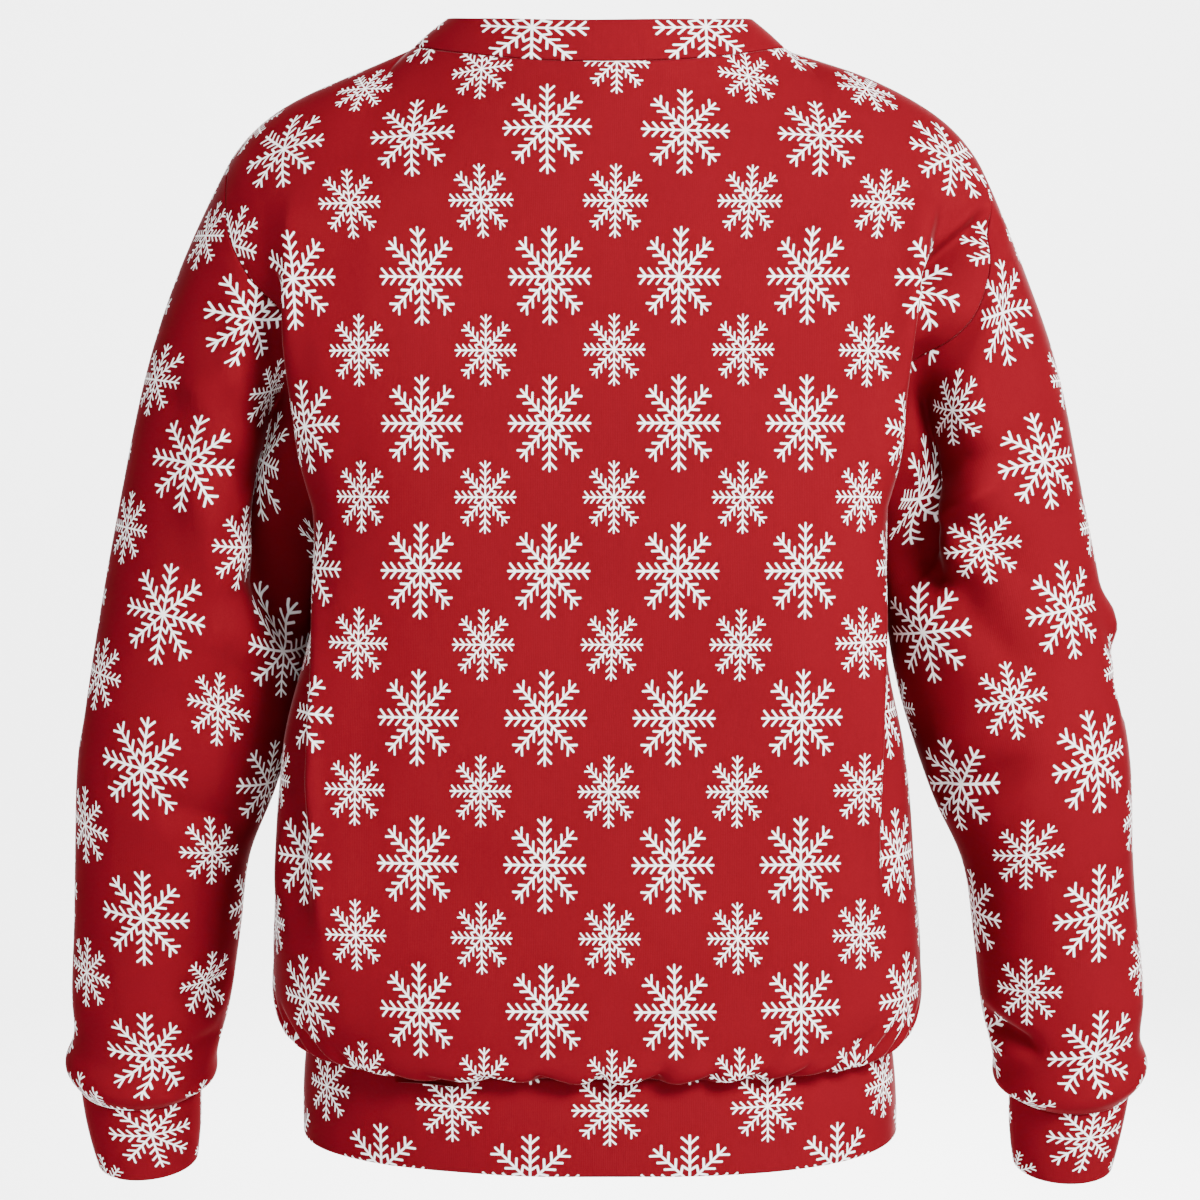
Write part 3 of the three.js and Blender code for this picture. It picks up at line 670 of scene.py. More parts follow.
def section_point(section, side, across):
    """Points of a level section. side is 1 on the back and -1 on the front, and across
    runs from -1 at the right edge to 1 at the left edge."""
    left = (across > 0) & (side > 0)
    right = (across < 0) & (side > 0)
    edge_x = section["edge_x"] - section["left_tuck"] * left - section["right_tuck"] * right
    wrap = section["wrap"] + section["left_turn"] * left + section["right_turn"] * right
    wrap = np.radians(wrap)
    turn = np.abs(across) * wrap
    fill = section["corner"] * (np.cos(turn) ** 2 - np.cos(wrap) ** 2)
    outward = np.sin(turn) / np.sin(wrap) * (1 + fill)
    towards_middle = (np.cos(turn) - np.cos(wrap)) / (1 - np.cos(wrap))
    bulge = towards_middle * (1 + section["corner"] * np.sin(turn) ** 2)
    panel = panel_name(side)
    x = section["shift"] + np.sign(across) * edge_x * outward
    y = side * mix(section["edge_y"], section[f"{panel}_y"], bulge)
    z = mix(section["edge_z"], section[f"{panel}_z"], towards_middle)
    return stack(x, y, z)


def neck_and_shoulder_point(side, across):
    """Points of the neck seam, and past its ends of the shoulder seam."""
    reach = np.abs(across)
    panel = panel_name(side)
    turn = np.minimum(reach / NECK_SHARE, 1) * math.pi / 2
    depth = NECK_DEPTH[panel] - side * NECK_SEAM_Y
    neck = stack(
        np.sign(across) * NECK_HALF_WIDTH * np.sin(turn),
        NECK_SEAM_Y + side * depth * np.cos(turn),
        -NECK_DROP[panel] * np.abs(np.cos(turn)) ** NECK_DROP_POWER,
    )
    along = np.maximum(reach - NECK_SHARE, 0) / (1 - NECK_SHARE)
    shoulder = stack(
        np.sign(across) * mix(NECK_HALF_WIDTH, SHOULDER_X, along),
        mix(NECK_SEAM_Y, SHOULDER_Y, along),
        -SHOULDER_SLOPE_DROP * along - SHOULDER_ROLL_DROP * along**SHOULDER_ROLL_POWER,
    )
    return np.where((reach <= NECK_SHARE + ROW_SLACK)[..., None], neck, shoulder)


def neck_band_point(side, across, height):
    """Points of the neck band, from its seam at height 0 to its folded edge at 1."""
    seam = neck_and_shoulder_point(side, across)
    sideways = (np.sin(np.abs(across) / NECK_SHARE * math.pi / 2) ** 2)[..., None]
    middle = NECK_BAND[panel_name(side)]
    rise = mix(middle["rise"], NECK_BAND["side"]["rise"], sideways)
    lean = mix(middle["lean"], NECK_BAND["side"]["lean"], sideways)
    inward = unit(stack(-seam[..., 0], NECK_SEAM_Y - seam[..., 1], 0))
    barrel = BAND_BARREL * math.sin(math.pi * height)
    return seam + inward * (lean * height - barrel) + rise * height * np.array((0, 0, 1))


def panel_station(index, side, across):
    if index < len(BODY_SECTIONS):
        return section_point(BODY_SECTIONS[max(index, 0)], side, across)
    return neck_and_shoulder_point(side, across)


def top_direction(side, across):
    """Direction of a panel at its top edge: over the shoulder to the other panel, and up
    into the band along the neck."""
    last = len(BODY_SECTIONS)
    below = panel_station(last - 1, side, across)
    top = panel_station(last, side, across)
    over_shoulder = station_direction(below, top, panel_station(last - 1, -side, across))
    neck_across = np.clip(across, -NECK_SHARE, NECK_SHARE)
    rise = neck_band_point(side, neck_across, 1) - neck_band_point(side, neck_across, 0)
    into_band = station_direction(below, top, top + rise)
    ease = (NECK_SHARE - NECK_END_EASE, NECK_SHARE + NECK_END_EASE)
    share = smooth_step(np.abs(across), *ease)[..., None]
    return unit(mix(into_band, over_shoulder, share))


def underarm_direction(side, across, leaving):
    """Direction of a panel at the underarm. The middle runs straight on, but at the edge
    the side seam arrives upright and the armhole leaves it towards the middle."""
    at = panel_station(UNDERARM_SECTION, side, across)
    below = panel_station(UNDERARM_SECTION - 1, side, across)
    above = panel_station(UNDERARM_SECTION + 1, side, across)
    at_edge = np.array((0, side, ARMHOLE_CLIMB)) if leaving else at - below
    share = smooth_step(np.abs(across), UNDERARM_EASE_FROM, 1)[..., None]
    return unit(mix(station_direction(below, at, above), unit(at_edge), share))


def panel_points(side, across, row):
    """Points of a panel along one table row, which may lie between two."""
    index, share = locate_row(BODY_ROW_COUNTS, row)
    start = panel_station(index, side, across)
    end = panel_station(index + 1, side, across)
    before = panel_station(index - 1, side, across) if index > 0 else 2 * start - end
    start_direction = station_direction(before, start, end)
    if index == UNDERARM_SECTION:
        start_direction = underarm_direction(side, across, True)
    if index + 1 == len(BODY_SECTIONS):
        end_direction = top_direction(side, across)
    elif index + 1 == UNDERARM_SECTION:
        end_direction = underarm_direction(side, across, False)
    else:
        after = panel_station(index + 2, side, across)
        end_direction = station_direction(start, end, after)
    return cubic_point(start, end, start_direction, end_direction, share)


def hem_band_point(side, across, height):
    """Points of the hem band, from its seam at height 0 to its folded edge at 1."""
    point = section_point(BODY_SECTIONS[0], side, across)
    outward = unit(stack(point[..., 0], point[..., 1], 0))
    barrel = BAND_BARREL * math.sin(math.pi * height)
    drop = HEM_BAND_HEIGHT * height * np.array((0, 0, 1))
    return point + outward * (HEM_BAND_FLARE * height + barrel) - drop


# -------------------------------------------------------------- sleeve surface

SLEEVE_ROW_COUNTS = [ARMHOLE_ROWS] + [s["rows"] for s in SLEEVE_SECTIONS[:-1]]
SLEEVE_ROWS = sum(SLEEVE_ROW_COUNTS)


def armhole_point(around, hand):
    """Point of an armhole seam. hand is 1 for the wearer's left sleeve and -1 for the
    right one. around runs from 0 at the underarm, up the back to 0.5 at the shoulder and
    down the front to 1. Both sleeves are laid out on the left side."""
    side = 1 if around <= 0.5 else -1
    climb = 1 - abs(1 - 2 * around)
    row = mix(UNDERARM_ROW, BODY_ROWS, climb)
    return panel_points(side, np.array((float(hand),)), row)[0] * (hand, 1, 1)


def centre_of(section):
    return np.array((section["x"], section["y"], section["z"]), float)


def sleeve_centre(index):
    return centre_of(SLEEVE_SECTIONS[min(max(index, 0), len(SLEEVE_SECTIONS) - 1)])


def ring_points(section, run, around):
    """Points of a section's elliptical ring, square to the run of the sleeve."""
    outward = unit(np.array((1.0, 0, 0)) - run * run[0])
    backward = unit(np.cross(outward, run))
    turn = (2 * math.pi * around)[:, None]
    sideways = outward * section["half_width"] * np.cos(turn)
    return centre_of(section) - sideways + backward * section["half_depth"] * np.sin(turn)


def sleeve_ring(index, around):
    run = unit(sleeve_centre(index + 1) - sleeve_centre(index - 1))
    return ring_points(SLEEVE_SECTIONS[index], run, around)


def sleeve_grid(around, rows, hand):
    """Points of a sleeve for every table row in rows."""
    stations = [np.array([armhole_point(value, hand) for value in around])]
    stations += [sleeve_ring(index, around) for index in range(len(SLEEVE_SECTIONS))]
    over_shoulder = np.sin(math.pi * around)[:, None]
    flow = unit(mix(UNDERARM_FLOW, SHOULDER_FLOW, over_shoulder))
    grid = []
    for row in rows:
        index, share = locate_row(SLEEVE_ROW_COUNTS, row)
        start = stations[index]
        end = stations[index + 1]
        start_direction = flow
        if index > 0:
            start_direction = station_direction(stations[index - 1], start, end)
        has_next = index + 2 < len(stations)
        after = stations[index + 2] if has_next else 2 * end - start
        end_direction = station_direction(start, end, after)
        grid.append(cubic_point(start, end, start_direction, end_direction, share))
    return np.array(grid)


def cuff_points(around, height):
    """Points of a cuff, from its seam at height 0 to its folded edge at 1."""
    last = len(SLEEVE_SECTIONS) - 1
    seam = sleeve_ring(last, around)
    seam_centre = sleeve_centre(last)
    end_centre = centre_of(CUFF_END)
    end = ring_points(CUFF_END, unit(end_centre - seam_centre), around)
    centre = mix(seam_centre, end_centre, height)
    point = mix(seam, end, height)
    outward = unit(point - centre)
    return point + outward * BAND_BARREL * math.sin(math.pi * height)


def place_on_hand(points, hand):
    """Points laid out on the left side, moved to the side of the given hand."""
    placed = points.copy()
    if hand < 0:
        spread = RIGHT_SLEEVE_SPREAD
        share = smooth_step(-points[..., 2], -spread["from_z"], -spread["full_z"])
        placed[..., 0] = -(points[..., 0] + spread["distance"] * share)
    return placed


# -------------------------------------------------------------------- patches


@dataclass
class Patch:
    """One piece's outer face as a grid of points, with its place on the cut cloth.

    A closed patch runs all round. facing is 1 where columns crossed with rows point
    outwards. cut holds the flat position of each point, seen from outside, with one more
    column than the points on a closed patch.
    """

    name: str
    part: str
    facing: int
    closed: bool
    points: np.ndarray
    cut: np.ndarray
    normals: np.ndarray = None


def panel_patch(side):
    stations = fine_stations(PANEL_COLUMNS, PANEL_COLUMN_STEPS, True, True)
    across = 2 * stations / PANEL_COLUMNS - 1
    rows = fine_stations(BODY_ROWS, PANEL_ROW_STEPS, False, True)
    points = np.array([panel_points(side, across, row) for row in rows])
    level = run_lengths(points[..., :2], 1)
    middle = np.argmin(np.abs(across))
    sideways = (level[:, middle : middle + 1] - level) * side
    upright = run_lengths(points[..., 1:], 0)
    underarm = np.argmin(np.abs(rows - UNDERARM_ROW))
    climb = upright - upright[underarm] + points[underarm, :, 2]
    stretch = CHEST_STRETCH
    chest = smooth_step(climb, stretch["from_height"], stretch["full_height"])
    drawn = climb - stretch["lift"] * chest
    cut = np.stack((sideways / (1 + stretch["share"] * chest), drawn), axis=-1)
    return Patch(panel_name(side), "body", -side, False, points, cut)


def sleeve_around():
    """Values round the armhole that match the panels' rows above the underarm."""
    rows = fine_stations(BODY_ROWS, PANEL_ROW_STEPS, False, True)
    climbs = (rows[rows > UNDERARM_ROW - ROW_SLACK] - UNDERARM_ROW) / (BODY_ROWS - UNDERARM_ROW)
    return np.concatenate((climbs / 2, 1 - climbs[-2:0:-1] / 2))


def hand_name(hand):
    return "left" if hand > 0 else "right"


def close_columns(grid):
    return np.concatenate((grid, grid[:, :1]), axis=1)


def closed_cut(points, middle, climb, hand=1):
    """Flat positions on a closed piece, measured across from its middle column."""
    run = run_lengths(close_columns(points), 1)
    sideways = (run[:, middle : middle + 1] - run) * hand
    return np.stack((sideways, np.broadcast_to(climb, sideways.shape)), axis=-1)


def arm_patch(kind, hand, points, around, climb):
    """A sleeve or a cuff, laid out on the left side."""
    cut = closed_cut(points, np.argmin(np.abs(around - 0.5)), climb, hand)
    side = hand_name(hand)
    placed = place_on_hand(points, hand)
    return Patch(f"{side}_{kind}", f"{side} arm", hand, True, placed, cut)


def sleeve_patch(hand):
    around = sleeve_around()
    rows = fine_stations(SLEEVE_ROWS, SLEEVE_ROW_STEPS, True, True)
    points = sleeve_grid(around, rows, hand)
    upright = run_lengths(close_columns(points), 0)
    upper_arm = np.argmin(np.abs(rows - ARMHOLE_ROWS))
    climb = upright[upper_arm] - upright
    below = rows >= ARMHOLE_ROWS
    climb[below] = climb[below].mean(axis=1, keepdims=True)
    return arm_patch("sleeve", hand, points, around, climb)


def band_heights(band_height):
    """Heights of a band's rows, as shares, closer together next to its seam."""
    rows = np.linspace(0, 1, round(band_height / BAND_ROW) + 1)
    return np.sort(np.concatenate((rows, rows[1] * np.array(EDGE_SHARES))))


def cuff_patch(hand):
    around = sleeve_around()
    heights = band_heights(CUFF_HEIGHT)
    points = np.array([cuff_points(around, height) for height in heights])
    return arm_patch("cuff", hand, points, around, -CUFF_HEIGHT * heights[:, None])


def body_ring(half, point_at):
    """A ring round the body: the back's columns from right to left and then the front's
    from left to right. half is the across value at each end of the back."""
    stations = fine_stations(PANEL_COLUMNS, PANEL_COLUMN_STEPS, half == 1, half == 1)
    across = 2 * stations / PANEL_COLUMNS - 1
    across = across[np.abs(across) <= half + ROW_SLACK]
    back = point_at(1, across)
    front = point_at(-1, across[-2:0:-1])
    return np.concatenate((back, front)), np.argmin(np.abs(across))


def ring_patch(name, facing, half, band_height, up, point_at):
    """A band round the body's hem or neck. up is 1 where it rises from its seam."""
    heights = band_heights(band_height)
    rings = []
    for height in heights:
        ring, middle = body_ring(half, lambda side, across: point_at(side, across, height))
        rings.append(ring)
    points = np.array(rings)
    cut = closed_cut(points, middle, up * band_height * heights[:, None])
    return Patch(name, "body", facing, True, points, cut)


def neck_band_height():
    back = NECK_BAND["back"]
    return math.hypot(back["rise"], back["lean"])


def all_patches():
    neck = ring_patch("neck_band", -1, NECK_SHARE, neck_band_height(), 1, neck_band_point)
    hem = ring_patch("hem_band", 1, 1, HEM_BAND_HEIGHT, -1, hem_band_point)
    return [
        panel_patch(1),
        panel_patch(-1),
        sleeve_patch(1),
        sleeve_patch(-1),
        neck,
        hem,
        cuff_patch(1),
        cuff_patch(-1),
    ]


def grid_normals(points, closed, facing):
    along = np.gradient(points, axis=0)
    if closed:
        across = np.roll(points, -1, axis=1) - np.roll(points, 1, axis=1)
    else:
        across = np.gradient(points, axis=1)
    return unit(np.cross(across, along) * facing)


def border_places(patch):
    """Row and column numbers of a patch's border points."""
    rows, columns = patch.points.shape[:2]
    border = np.zeros((rows, columns), bool)
    border[[0, -1], :] = True
    if not patch.closed:
        border[:, [0, -1]] = True
    return np.argwhere(border)


def seam_key(point):
    """The same for the points of two pieces that meet at a seam."""
    return tuple(np.round(point * SEAM_MATCH_STEPS).astype(int))


def share_seam_normals(patches):
    """Gives sewn pieces one normal at each point of their common seam."""
    totals = {}
    for patch in patches:
        patch.normals = grid_normals(patch.points, patch.closed, patch.facing)
        for row, column in border_places(patch):
            key = seam_key(patch.points[row, column])
            totals[key] = totals.get(key, 0) + patch.normals[row, column]
    for patch in patches:
        for row, column in border_places(patch):
            patch.normals[row, column] = unit(totals[seam_key(patch.points[row, column])])


def seam_distances(patch):
    """Distance from each point to the nearest sewn edge. A band's far edge is folded."""
    down = run_lengths(patch.points, 0)
    nearest = down.copy()
    if patch.name in SINGLE_LAYERS:
        nearest = np.minimum(nearest, down[-1:] - down)
    if not patch.closed:
        across = run_lengths(patch.points, 1)
        nearest = np.minimum(nearest, np.minimum(across, across[:, -1:] - across))
    return nearest


# --------------------------------------------------------------- fold surface

FACES = {
    "back": {"normal": np.array((0, 1, 0)), "axis": 0},
    "front": {"normal": np.array((0, -1, 0)), "axis": 0},
    "left": {"normal": np.array((1, 0, 0)), "axis": 1},
    "right": {"normal": np.array((-1, 0, 0)), "axis": 1},
}


def smooth_path(path):
    """A curve through given points, as a run of short straight steps."""
    points = np.array(path, float)
    ahead = 2 * points[:1] - points[1:2]
    beyond = 2 * points[-1:] - points[-2:-1]
    padded = np.concatenate((ahead, points, beyond))
    shares = np.arange(FOLD_PATH_STEPS) / FOLD_PATH_STEPS
    line = []
    for index in range(len(points) - 1):
        before, start, end, after = padded[index : index + 4]
        for share in shares:
            line.append(
                start
                + 0.5 * share * (end - before)
                + share**2 * (before - 2.5 * start + 2 * end - 0.5 * after)
                + share**3 * (1.5 * (start - end) + 0.5 * (after - before))
            )
    line.append(points[-1])
    return np.array(line)


def fold_profile(aside, near, far, crisp):
    """Height of a fold beside its line: 1 on it, with a raised lip on each flank."""
    widths = np.where(aside > 0, near, far)
    reach = np.abs(aside) / widths
    fold = np.exp(-(reach ** (2 - crisp)))
    lip = np.exp(-(((reach - LIP_PLACE) / LIP_SPREAD) ** 2))
    return fold - LIP_SHARE * lip


def fold_height(fold, points, normals):
    """Height of one fold at points of the cloth, along the cloth's normals."""
    face = FACES[fold["face"]]
    flat = points[:, [face["axis"], 2]]
    line = smooth_path(fold["path"])
    reach = FOLD_REACH * max(fold["near"], fold["far"])
    low, high = line.min(0) - reach, line.max(0) + reach
    facing = smooth_step(normals @ face["normal"], *FOLD_FACING)
    close = (facing > 0) & np.all(flat > low, 1) & np.all(flat < high, 1)
    height = np.zeros(len(points))
    if not close.any():
        return height
    starts = line[:-1]
    runs = np.diff(line, axis=0)
    run_squares = np.sum(runs**2, axis=1)
    ends_at = np.concatenate(([0], np.cumsum(np.sqrt(run_squares))))
    offset = flat[close][:, None, :] - starts[None]
    share = np.clip(np.sum(offset * runs, axis=2) / run_squares, 0, 1)
    away = offset - share[..., None] * runs
    distance = np.linalg.norm(away, axis=2)
    nearest = np.argmin(distance, axis=1)
    pick = (np.arange(len(nearest)), nearest)
    cross = runs[nearest, 0] * offset[pick][:, 1] - runs[nearest, 1] * offset[pick][:, 0]
    aside = distance[pick] * np.where(cross >= 0, 1, -1)
    along = (ends_at[nearest] + share[pick] * np.sqrt(run_squares[nearest])) / ends_at[-1]
    rise, fall = fold["fade"]
    ends = smooth_step(along, 0, rise) * smooth_step(1 - along, 0, fall)
    profile = fold_profile(aside, fold["near"], fold["far"], fold["crisp"])
    height[close] = fold["depth"] * facing[close] * ends * profile
    return height


def gather_scatter(number, kind):
    """A share from 0 to 1 that jumps about from one gather to the next."""
    rate, start = GATHER_SCATTER[kind]
    return 0.5 + 0.5 * np.sin(number * rate + start)


def gather_height(points, rise, count, depth):
    """Height of the hem gathers and the roll above them. The gathers are uneven in
    spacing, length and depth. rise is the distance up the cloth from the hem seam."""
    straight = np.arctan2(points[:, 0], points[:, 1])
    lean = GATHER_LEAN * GATHER_LEAN_REACH * (1 - np.exp(-rise / GATHER_LEAN_REACH))
    turn = straight - lean * np.sin(2 * straight)
    waver = GATHER_WAVER["size"] * np.sin(GATHER_WAVER["waves"] * turn + GATHER_WAVER["start"])
    phase = count * turn - GATHER_SPREAD * np.sin(2 * turn) + waver
    number = np.round(phase / (2 * math.pi))
    length = mix(*GATHER_LENGTHS, gather_scatter(number, "length"))
    fade = 1 - smooth_step(rise, length * GATHER_FADE_FROM, length)
    strength = smooth_step(rise, 0, GATHER_FULL_AT) * fade
    aside = phase / (2 * math.pi) - number
    outer = aside * np.sin(2 * straight) > 0
    flank = np.where(outer, GATHER_FLANKS[1], GATHER_FLANKS[0])
    valley = np.exp(-((np.abs(aside) / flank) ** GATHER_VALLEY_POWER))
    deepness = mix(GATHER_LEAST_DEPTH, 1, gather_scatter(number, "depth"))
    roll = HEM_ROLL["height"] * np.exp(-(((rise - HEM_ROLL["rise"]) / HEM_ROLL["spread"]) ** 2))
    return depth * deepness * strength * (GATHER_SWELL - valley) + roll


def wave_height(points):
    """Wide, shallow unevenness."""
    height = np.zeros(len(points))
    for wave in WAVES:
        turns = points[:, 0] / wave["length_x"]
        turns += points[:, 1] / wave["length_y"]
        turns += points[:, 2] / wave["length_z"]
        height += wave["height"] * np.sin(2 * math.pi * turns + wave["start"])
    return height


def eased_normals(patch):
    """A single layer's normals, turned evenly into the shared ones along its sewn edges."""
    if patch.name not in SINGLE_LAYERS:
        return patch.normals
    eased = patch.normals.copy()
    for axis in (0,) if patch.closed else (0, 1):
        run = run_lengths(patch.points, axis)
        whole = np.take(run, [-1], axis=axis)
        for end, distance in ((0, run), (-1, whole - run)):
            at_seam = np.take(patch.normals, [end], axis=axis)
            share = smooth_step(distance, 0, SEAM_EASE)[..., None]
            eased = mix(at_seam, eased, share)
    eased = unit(eased)
    for row, column in border_places(patch):
        eased[row, column] = patch.normals[row, column]
    return eased


def fold_patch(patch, strength, gather_count, gather_depth):
    """Moves a patch's points out or in by the cloth's folds."""
    shape = patch.points.shape[:2]
    points = patch.points.reshape(-1, 3)
    directions = eased_normals(patch)
    normals = directions.reshape(-1, 3)
    inside = smooth_step(seam_distances(patch).reshape(-1), 0, FOLD_SEAM_ROOM)
    height = wave_height(points)
    for fold in FOLDS:
        if fold["part"] == "all":
            height += fold_height(fold, points, normals)
        elif fold["part"] == patch.part:
            height += fold_height(fold, points, normals) * inside
    if patch.name in PANELS:
        rise = run_lengths(patch.points, 0).reshape(-1)
        height += gather_height(points, rise, gather_count, gather_depth)
    patch.points = patch.points + directions * (strength * height).reshape(shape)[..., None]


@functools.lru_cache(maxsize=1)
def folded_patches(strength, gather_count, gather_depth):
    """Every piece's outer face with its folds, by name."""
    patches = all_patches()
    share_seam_normals(patches)
    for patch in patches:
        fold_patch(patch, strength, gather_count, gather_depth)
    share_seam_normals(patches)
    return {patch.name: patch for patch in patches}


def garment_patches(context):
    folds = context.scene.sweatshirt_folds
    return folded_patches(folds.strength, folds.gather_count, folds.gather_depth / MM)


# ---------------------------------------------------------------- sewn edges


def edge_turn(distance):
    """Depth of a turned edge at a distance from its seam, on a quarter circle."""
    left = EDGE_RADIUS - np.minimum(distance, EDGE_RADIUS)
    return EDGE_RADIUS - np.sqrt(EDGE_RADIUS**2 - left**2)


def allowance(points, normals, cut, axis, at_end):
    """Adds a seam allowance behind one edge of a grid."""
    edge = -1 if at_end else 0
    inner = -2 if at_end else 1
    border = np.take(points, [edge], axis=axis)
    neighbour = np.take(points, [inner], axis=axis)
    gap = np.maximum(lengths(neighbour - border), SEAM_ROOM)
    border = border + (neighbour - border) * SEAM_ROOM / gap
    normal = np.take(normals, [edge], axis=axis)
    edge_cut = np.take(cut, [edge], axis=axis)
    added = [border - normal * depth for depth in ALLOWANCE_DEPTHS]
    kept = np.take(points, range(points.shape[axis] - 1), axis=axis)
    if not at_end:
        kept = np.take(points, range(1, points.shape[axis]), axis=axis)
    order = [kept, border, *added] if at_end else [*added[::-1], border, kept]
    extra = len(ALLOWANCE_DEPTHS)
    cut_order = [cut] + [edge_cut] * extra if at_end else [edge_cut] * extra + [cut]
    normal_order = [normals] + [normal] * extra if at_end else [normal] * extra + [normals]
    return (
        np.concatenate(order, axis=axis),
        np.concatenate(normal_order, axis=axis),
        np.concatenate(cut_order, axis=axis),
    )


def sewn_sheet(patch):
    """A panel's or sleeve's grid with every edge turned in and its allowances added."""
    turned = patch.points - patch.normals * edge_turn(seam_distances(patch))[..., None]
    grid = (turned, patch.normals, patch.cut)
    for axis in (0,) if patch.closed else (1, 0):
        for at_end in (False, True):
            grid = allowance(*grid, axis, at_end)
    return grid[0], grid[2]


def rows_at(values, heights, wanted):
    """Rows of a grid between its own, by height."""
    flat = values.reshape(len(values), -1)
    picked = [np.interp(wanted, heights, column) for column in flat.T]
    return np.array(picked).T.reshape(len(wanted), *values.shape[1:])


def folded_band(patch):
    """A band's strip: up its outer face, round the fold and back down its inner face."""
    down = run_lengths(patch.points, 0).mean(axis=1)
    full = down[-1]
    turned = patch.points - patch.normals * edge_turn(seam_distances(patch))[..., None]
    outer = down[down < full - FOLD_RADIUS]
    angles = np.linspace(0, math.pi, BAND_FOLD_STEPS + 1)
    inner = outer[outer > INNER_LAYER_END][::-1]
    heights = np.concatenate((outer, full - FOLD_RADIUS * (1 - np.sin(angles)), inner))
    depths = np.concatenate(
        (
            np.zeros(len(outer)),
            FOLD_RADIUS * (1 - np.cos(angles)),
            np.full(len(inner), 2 * FOLD_RADIUS),
        )
    )
    points = rows_at(turned, down, heights)
    normals = unit(rows_at(patch.normals, down, heights))
    points = points - normals * depths[:, None, None]
    cut = rows_at(patch.cut, down, heights)
    points, _, cut = allowance(points, normals, cut, 0, False)
    return points, cut


# ---------------------------------------------------------------------- meshes

# The bake map holds the outer face below, the inner face above and the rims between.
BAKE_MARGIN = 0.01
BAKE_OUTER = (0.01, 0.475)
BAKE_INNER = (0.525, 0.99)
BAKE_RIM_START = 0.482
BAKE_RIM_STEP = 0.009
BAKE_RIM_HEIGHT = 0.006


def quad_corners(grid):
    """The four corner values of every quad of a grid, in turn."""
    corners = (grid[:-1, :-1], grid[:-1, 1:], grid[1:, 1:], grid[1:, :-1])
    return np.stack([c.reshape(-1, *grid.shape[2:]) for c in corners], axis=1)


def bake_grid(shape, band):
    u = np.linspace(BAKE_MARGIN, 1 - BAKE_MARGIN, shape[1])
    v = np.linspace(*band, shape[0])
    return np.stack(np.meshgrid(u, v), axis=-1)


def rim_strips(numbers, closed):
    """A grid's border rows and columns, each run so that the rim's faces point outwards."""
    strips = [numbers[0][::-1], numbers[-1]]
    if not closed:
        strips += [numbers[:, 0], numbers[:, -1][::-1]]
    return strips


def shell_faces(points, cut, patch):
    """The quads of a closed shell on a grid, the two maps at their corners, and 1 for each
    quad of the reverse. The outer quads come first, then the reverse and the rims."""
    count = points.shape[0] * points.shape[1]
    numbers = np.arange(count).reshape(points.shape[:2])
    if patch.closed:
        numbers = close_columns(numbers)
    outer = quad_corners(numbers)
    quads = [outer, outer[:, ::-1] + count]
    cuts = [quad_corners(cut), quad_corners(cut)[:, ::-1]]
    bake_outer, bake_inner = (bake_grid(numbers.shape, band) for band in (BAKE_OUTER, BAKE_INNER))
    bakes = [quad_corners(bake_outer), quad_corners(bake_inner)[:, ::-1]]
    strips = zip(rim_strips(numbers, patch.closed), rim_strips(cut, patch.closed))
    for index, (run, run_cut) in enumerate(strips):
        quads.append(quad_corners(np.stack((run + count, run))))
        cuts.append(quad_corners(np.stack((run_cut, run_cut))))
        low = BAKE_RIM_START + index * BAKE_RIM_STEP
        bakes.append(quad_corners(bake_grid((2, len(run)), (low, low + BAKE_RIM_HEIGHT))))
    faces = np.concatenate(quads)
    maps = {"OFBake": np.concatenate(bakes), "cut": np.concatenate(cuts) * MM}
    if patch.facing < 0:
        faces = faces[:, ::-1]
        maps = {key: values[:, ::-1] for key, values in maps.items()}
    is_reverse = np.zeros(len(faces), np.int32)
    is_reverse[len(outer) : 2 * len(outer)] = 1
    return faces, maps, is_reverse


def smooth_mesh(name, vertices, faces):
    mesh = bpy.data.meshes.new(name)
    mesh.from_pydata(vertices, [], faces)
    mesh.polygons.foreach_set("use_smooth", np.ones(len(faces), bool))
    return mesh


def add_object(name, data):
    made = bpy.data.objects.new(name, data)
    bpy.context.scene.collection.objects.link(made)
    return made


def shell_object(name, points, cut, patch, thickness, materials):
    """A closed shell: the grid is its outer face, and thickness lies behind it."""
    inner = points - grid_normals(points, patch.closed, patch.facing) * thickness
    vertices = np.concatenate((points.reshape(-1, 3), inner.reshape(-1, 3))) * MM
    faces, maps, is_reverse = shell_faces(points, cut, patch)
    mesh = smooth_mesh(name, vertices, faces)
    for key, values in maps.items():
        layer = mesh.uv_layers.new(name=key)
        layer.data.foreach_set("uv", values.reshape(-1).astype(np.float32))
    mesh.polygons.foreach_set("material_index", is_reverse)
    for material in materials:
        mesh.materials.append(material)
    mesh.validate()
    return add_object(name, mesh)


def placed_cut(patch, cut):
    """Positions on the printed cloth, from flat positions on the piece."""
    place = PRINT_PLACES[patch.name]
    moved = cut + np.array((place["across"], place["up"]))
    for pull in PRINT_PULLS:
        if pull["piece"] == patch.name:
            away = lengths(cut - np.array((pull["across"], pull["up"]))) / pull["reach"]
            shift = np.array((pull["pull_across"], pull["pull_up"]))
            moved = moved + np.exp(-(away**2) / 2) * shift
    return moved / np.array((place["wide"], place["tall"]))


def add_piece(context, name):
    """Makes one sewn piece, hides the imported part that it stands in for, and attaches it to the
    root.
    """
    patch = garment_patches(context)[name]
    is_band = name not in SINGLE_LAYERS
    points, cut = folded_band(patch) if is_band else sewn_sheet(patch)
    printed = placed_cut(patch, cut)
    materials = jersey_materials(context)
    thickness = context.scene.sweatshirt_cloth.thickness / MM
    piece = shell_object(f"{name}_cloth", points, printed, patch, thickness, materials)
    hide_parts(name)
    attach(piece, "root")
    return piece


# ------------------------------------------------------------------- materials

# A Mix node's colour sockets by number, because sockets of other kinds share their names.
MIX_FIRST = 6
MIX_SECOND = 7
MIX_RESULT = 2


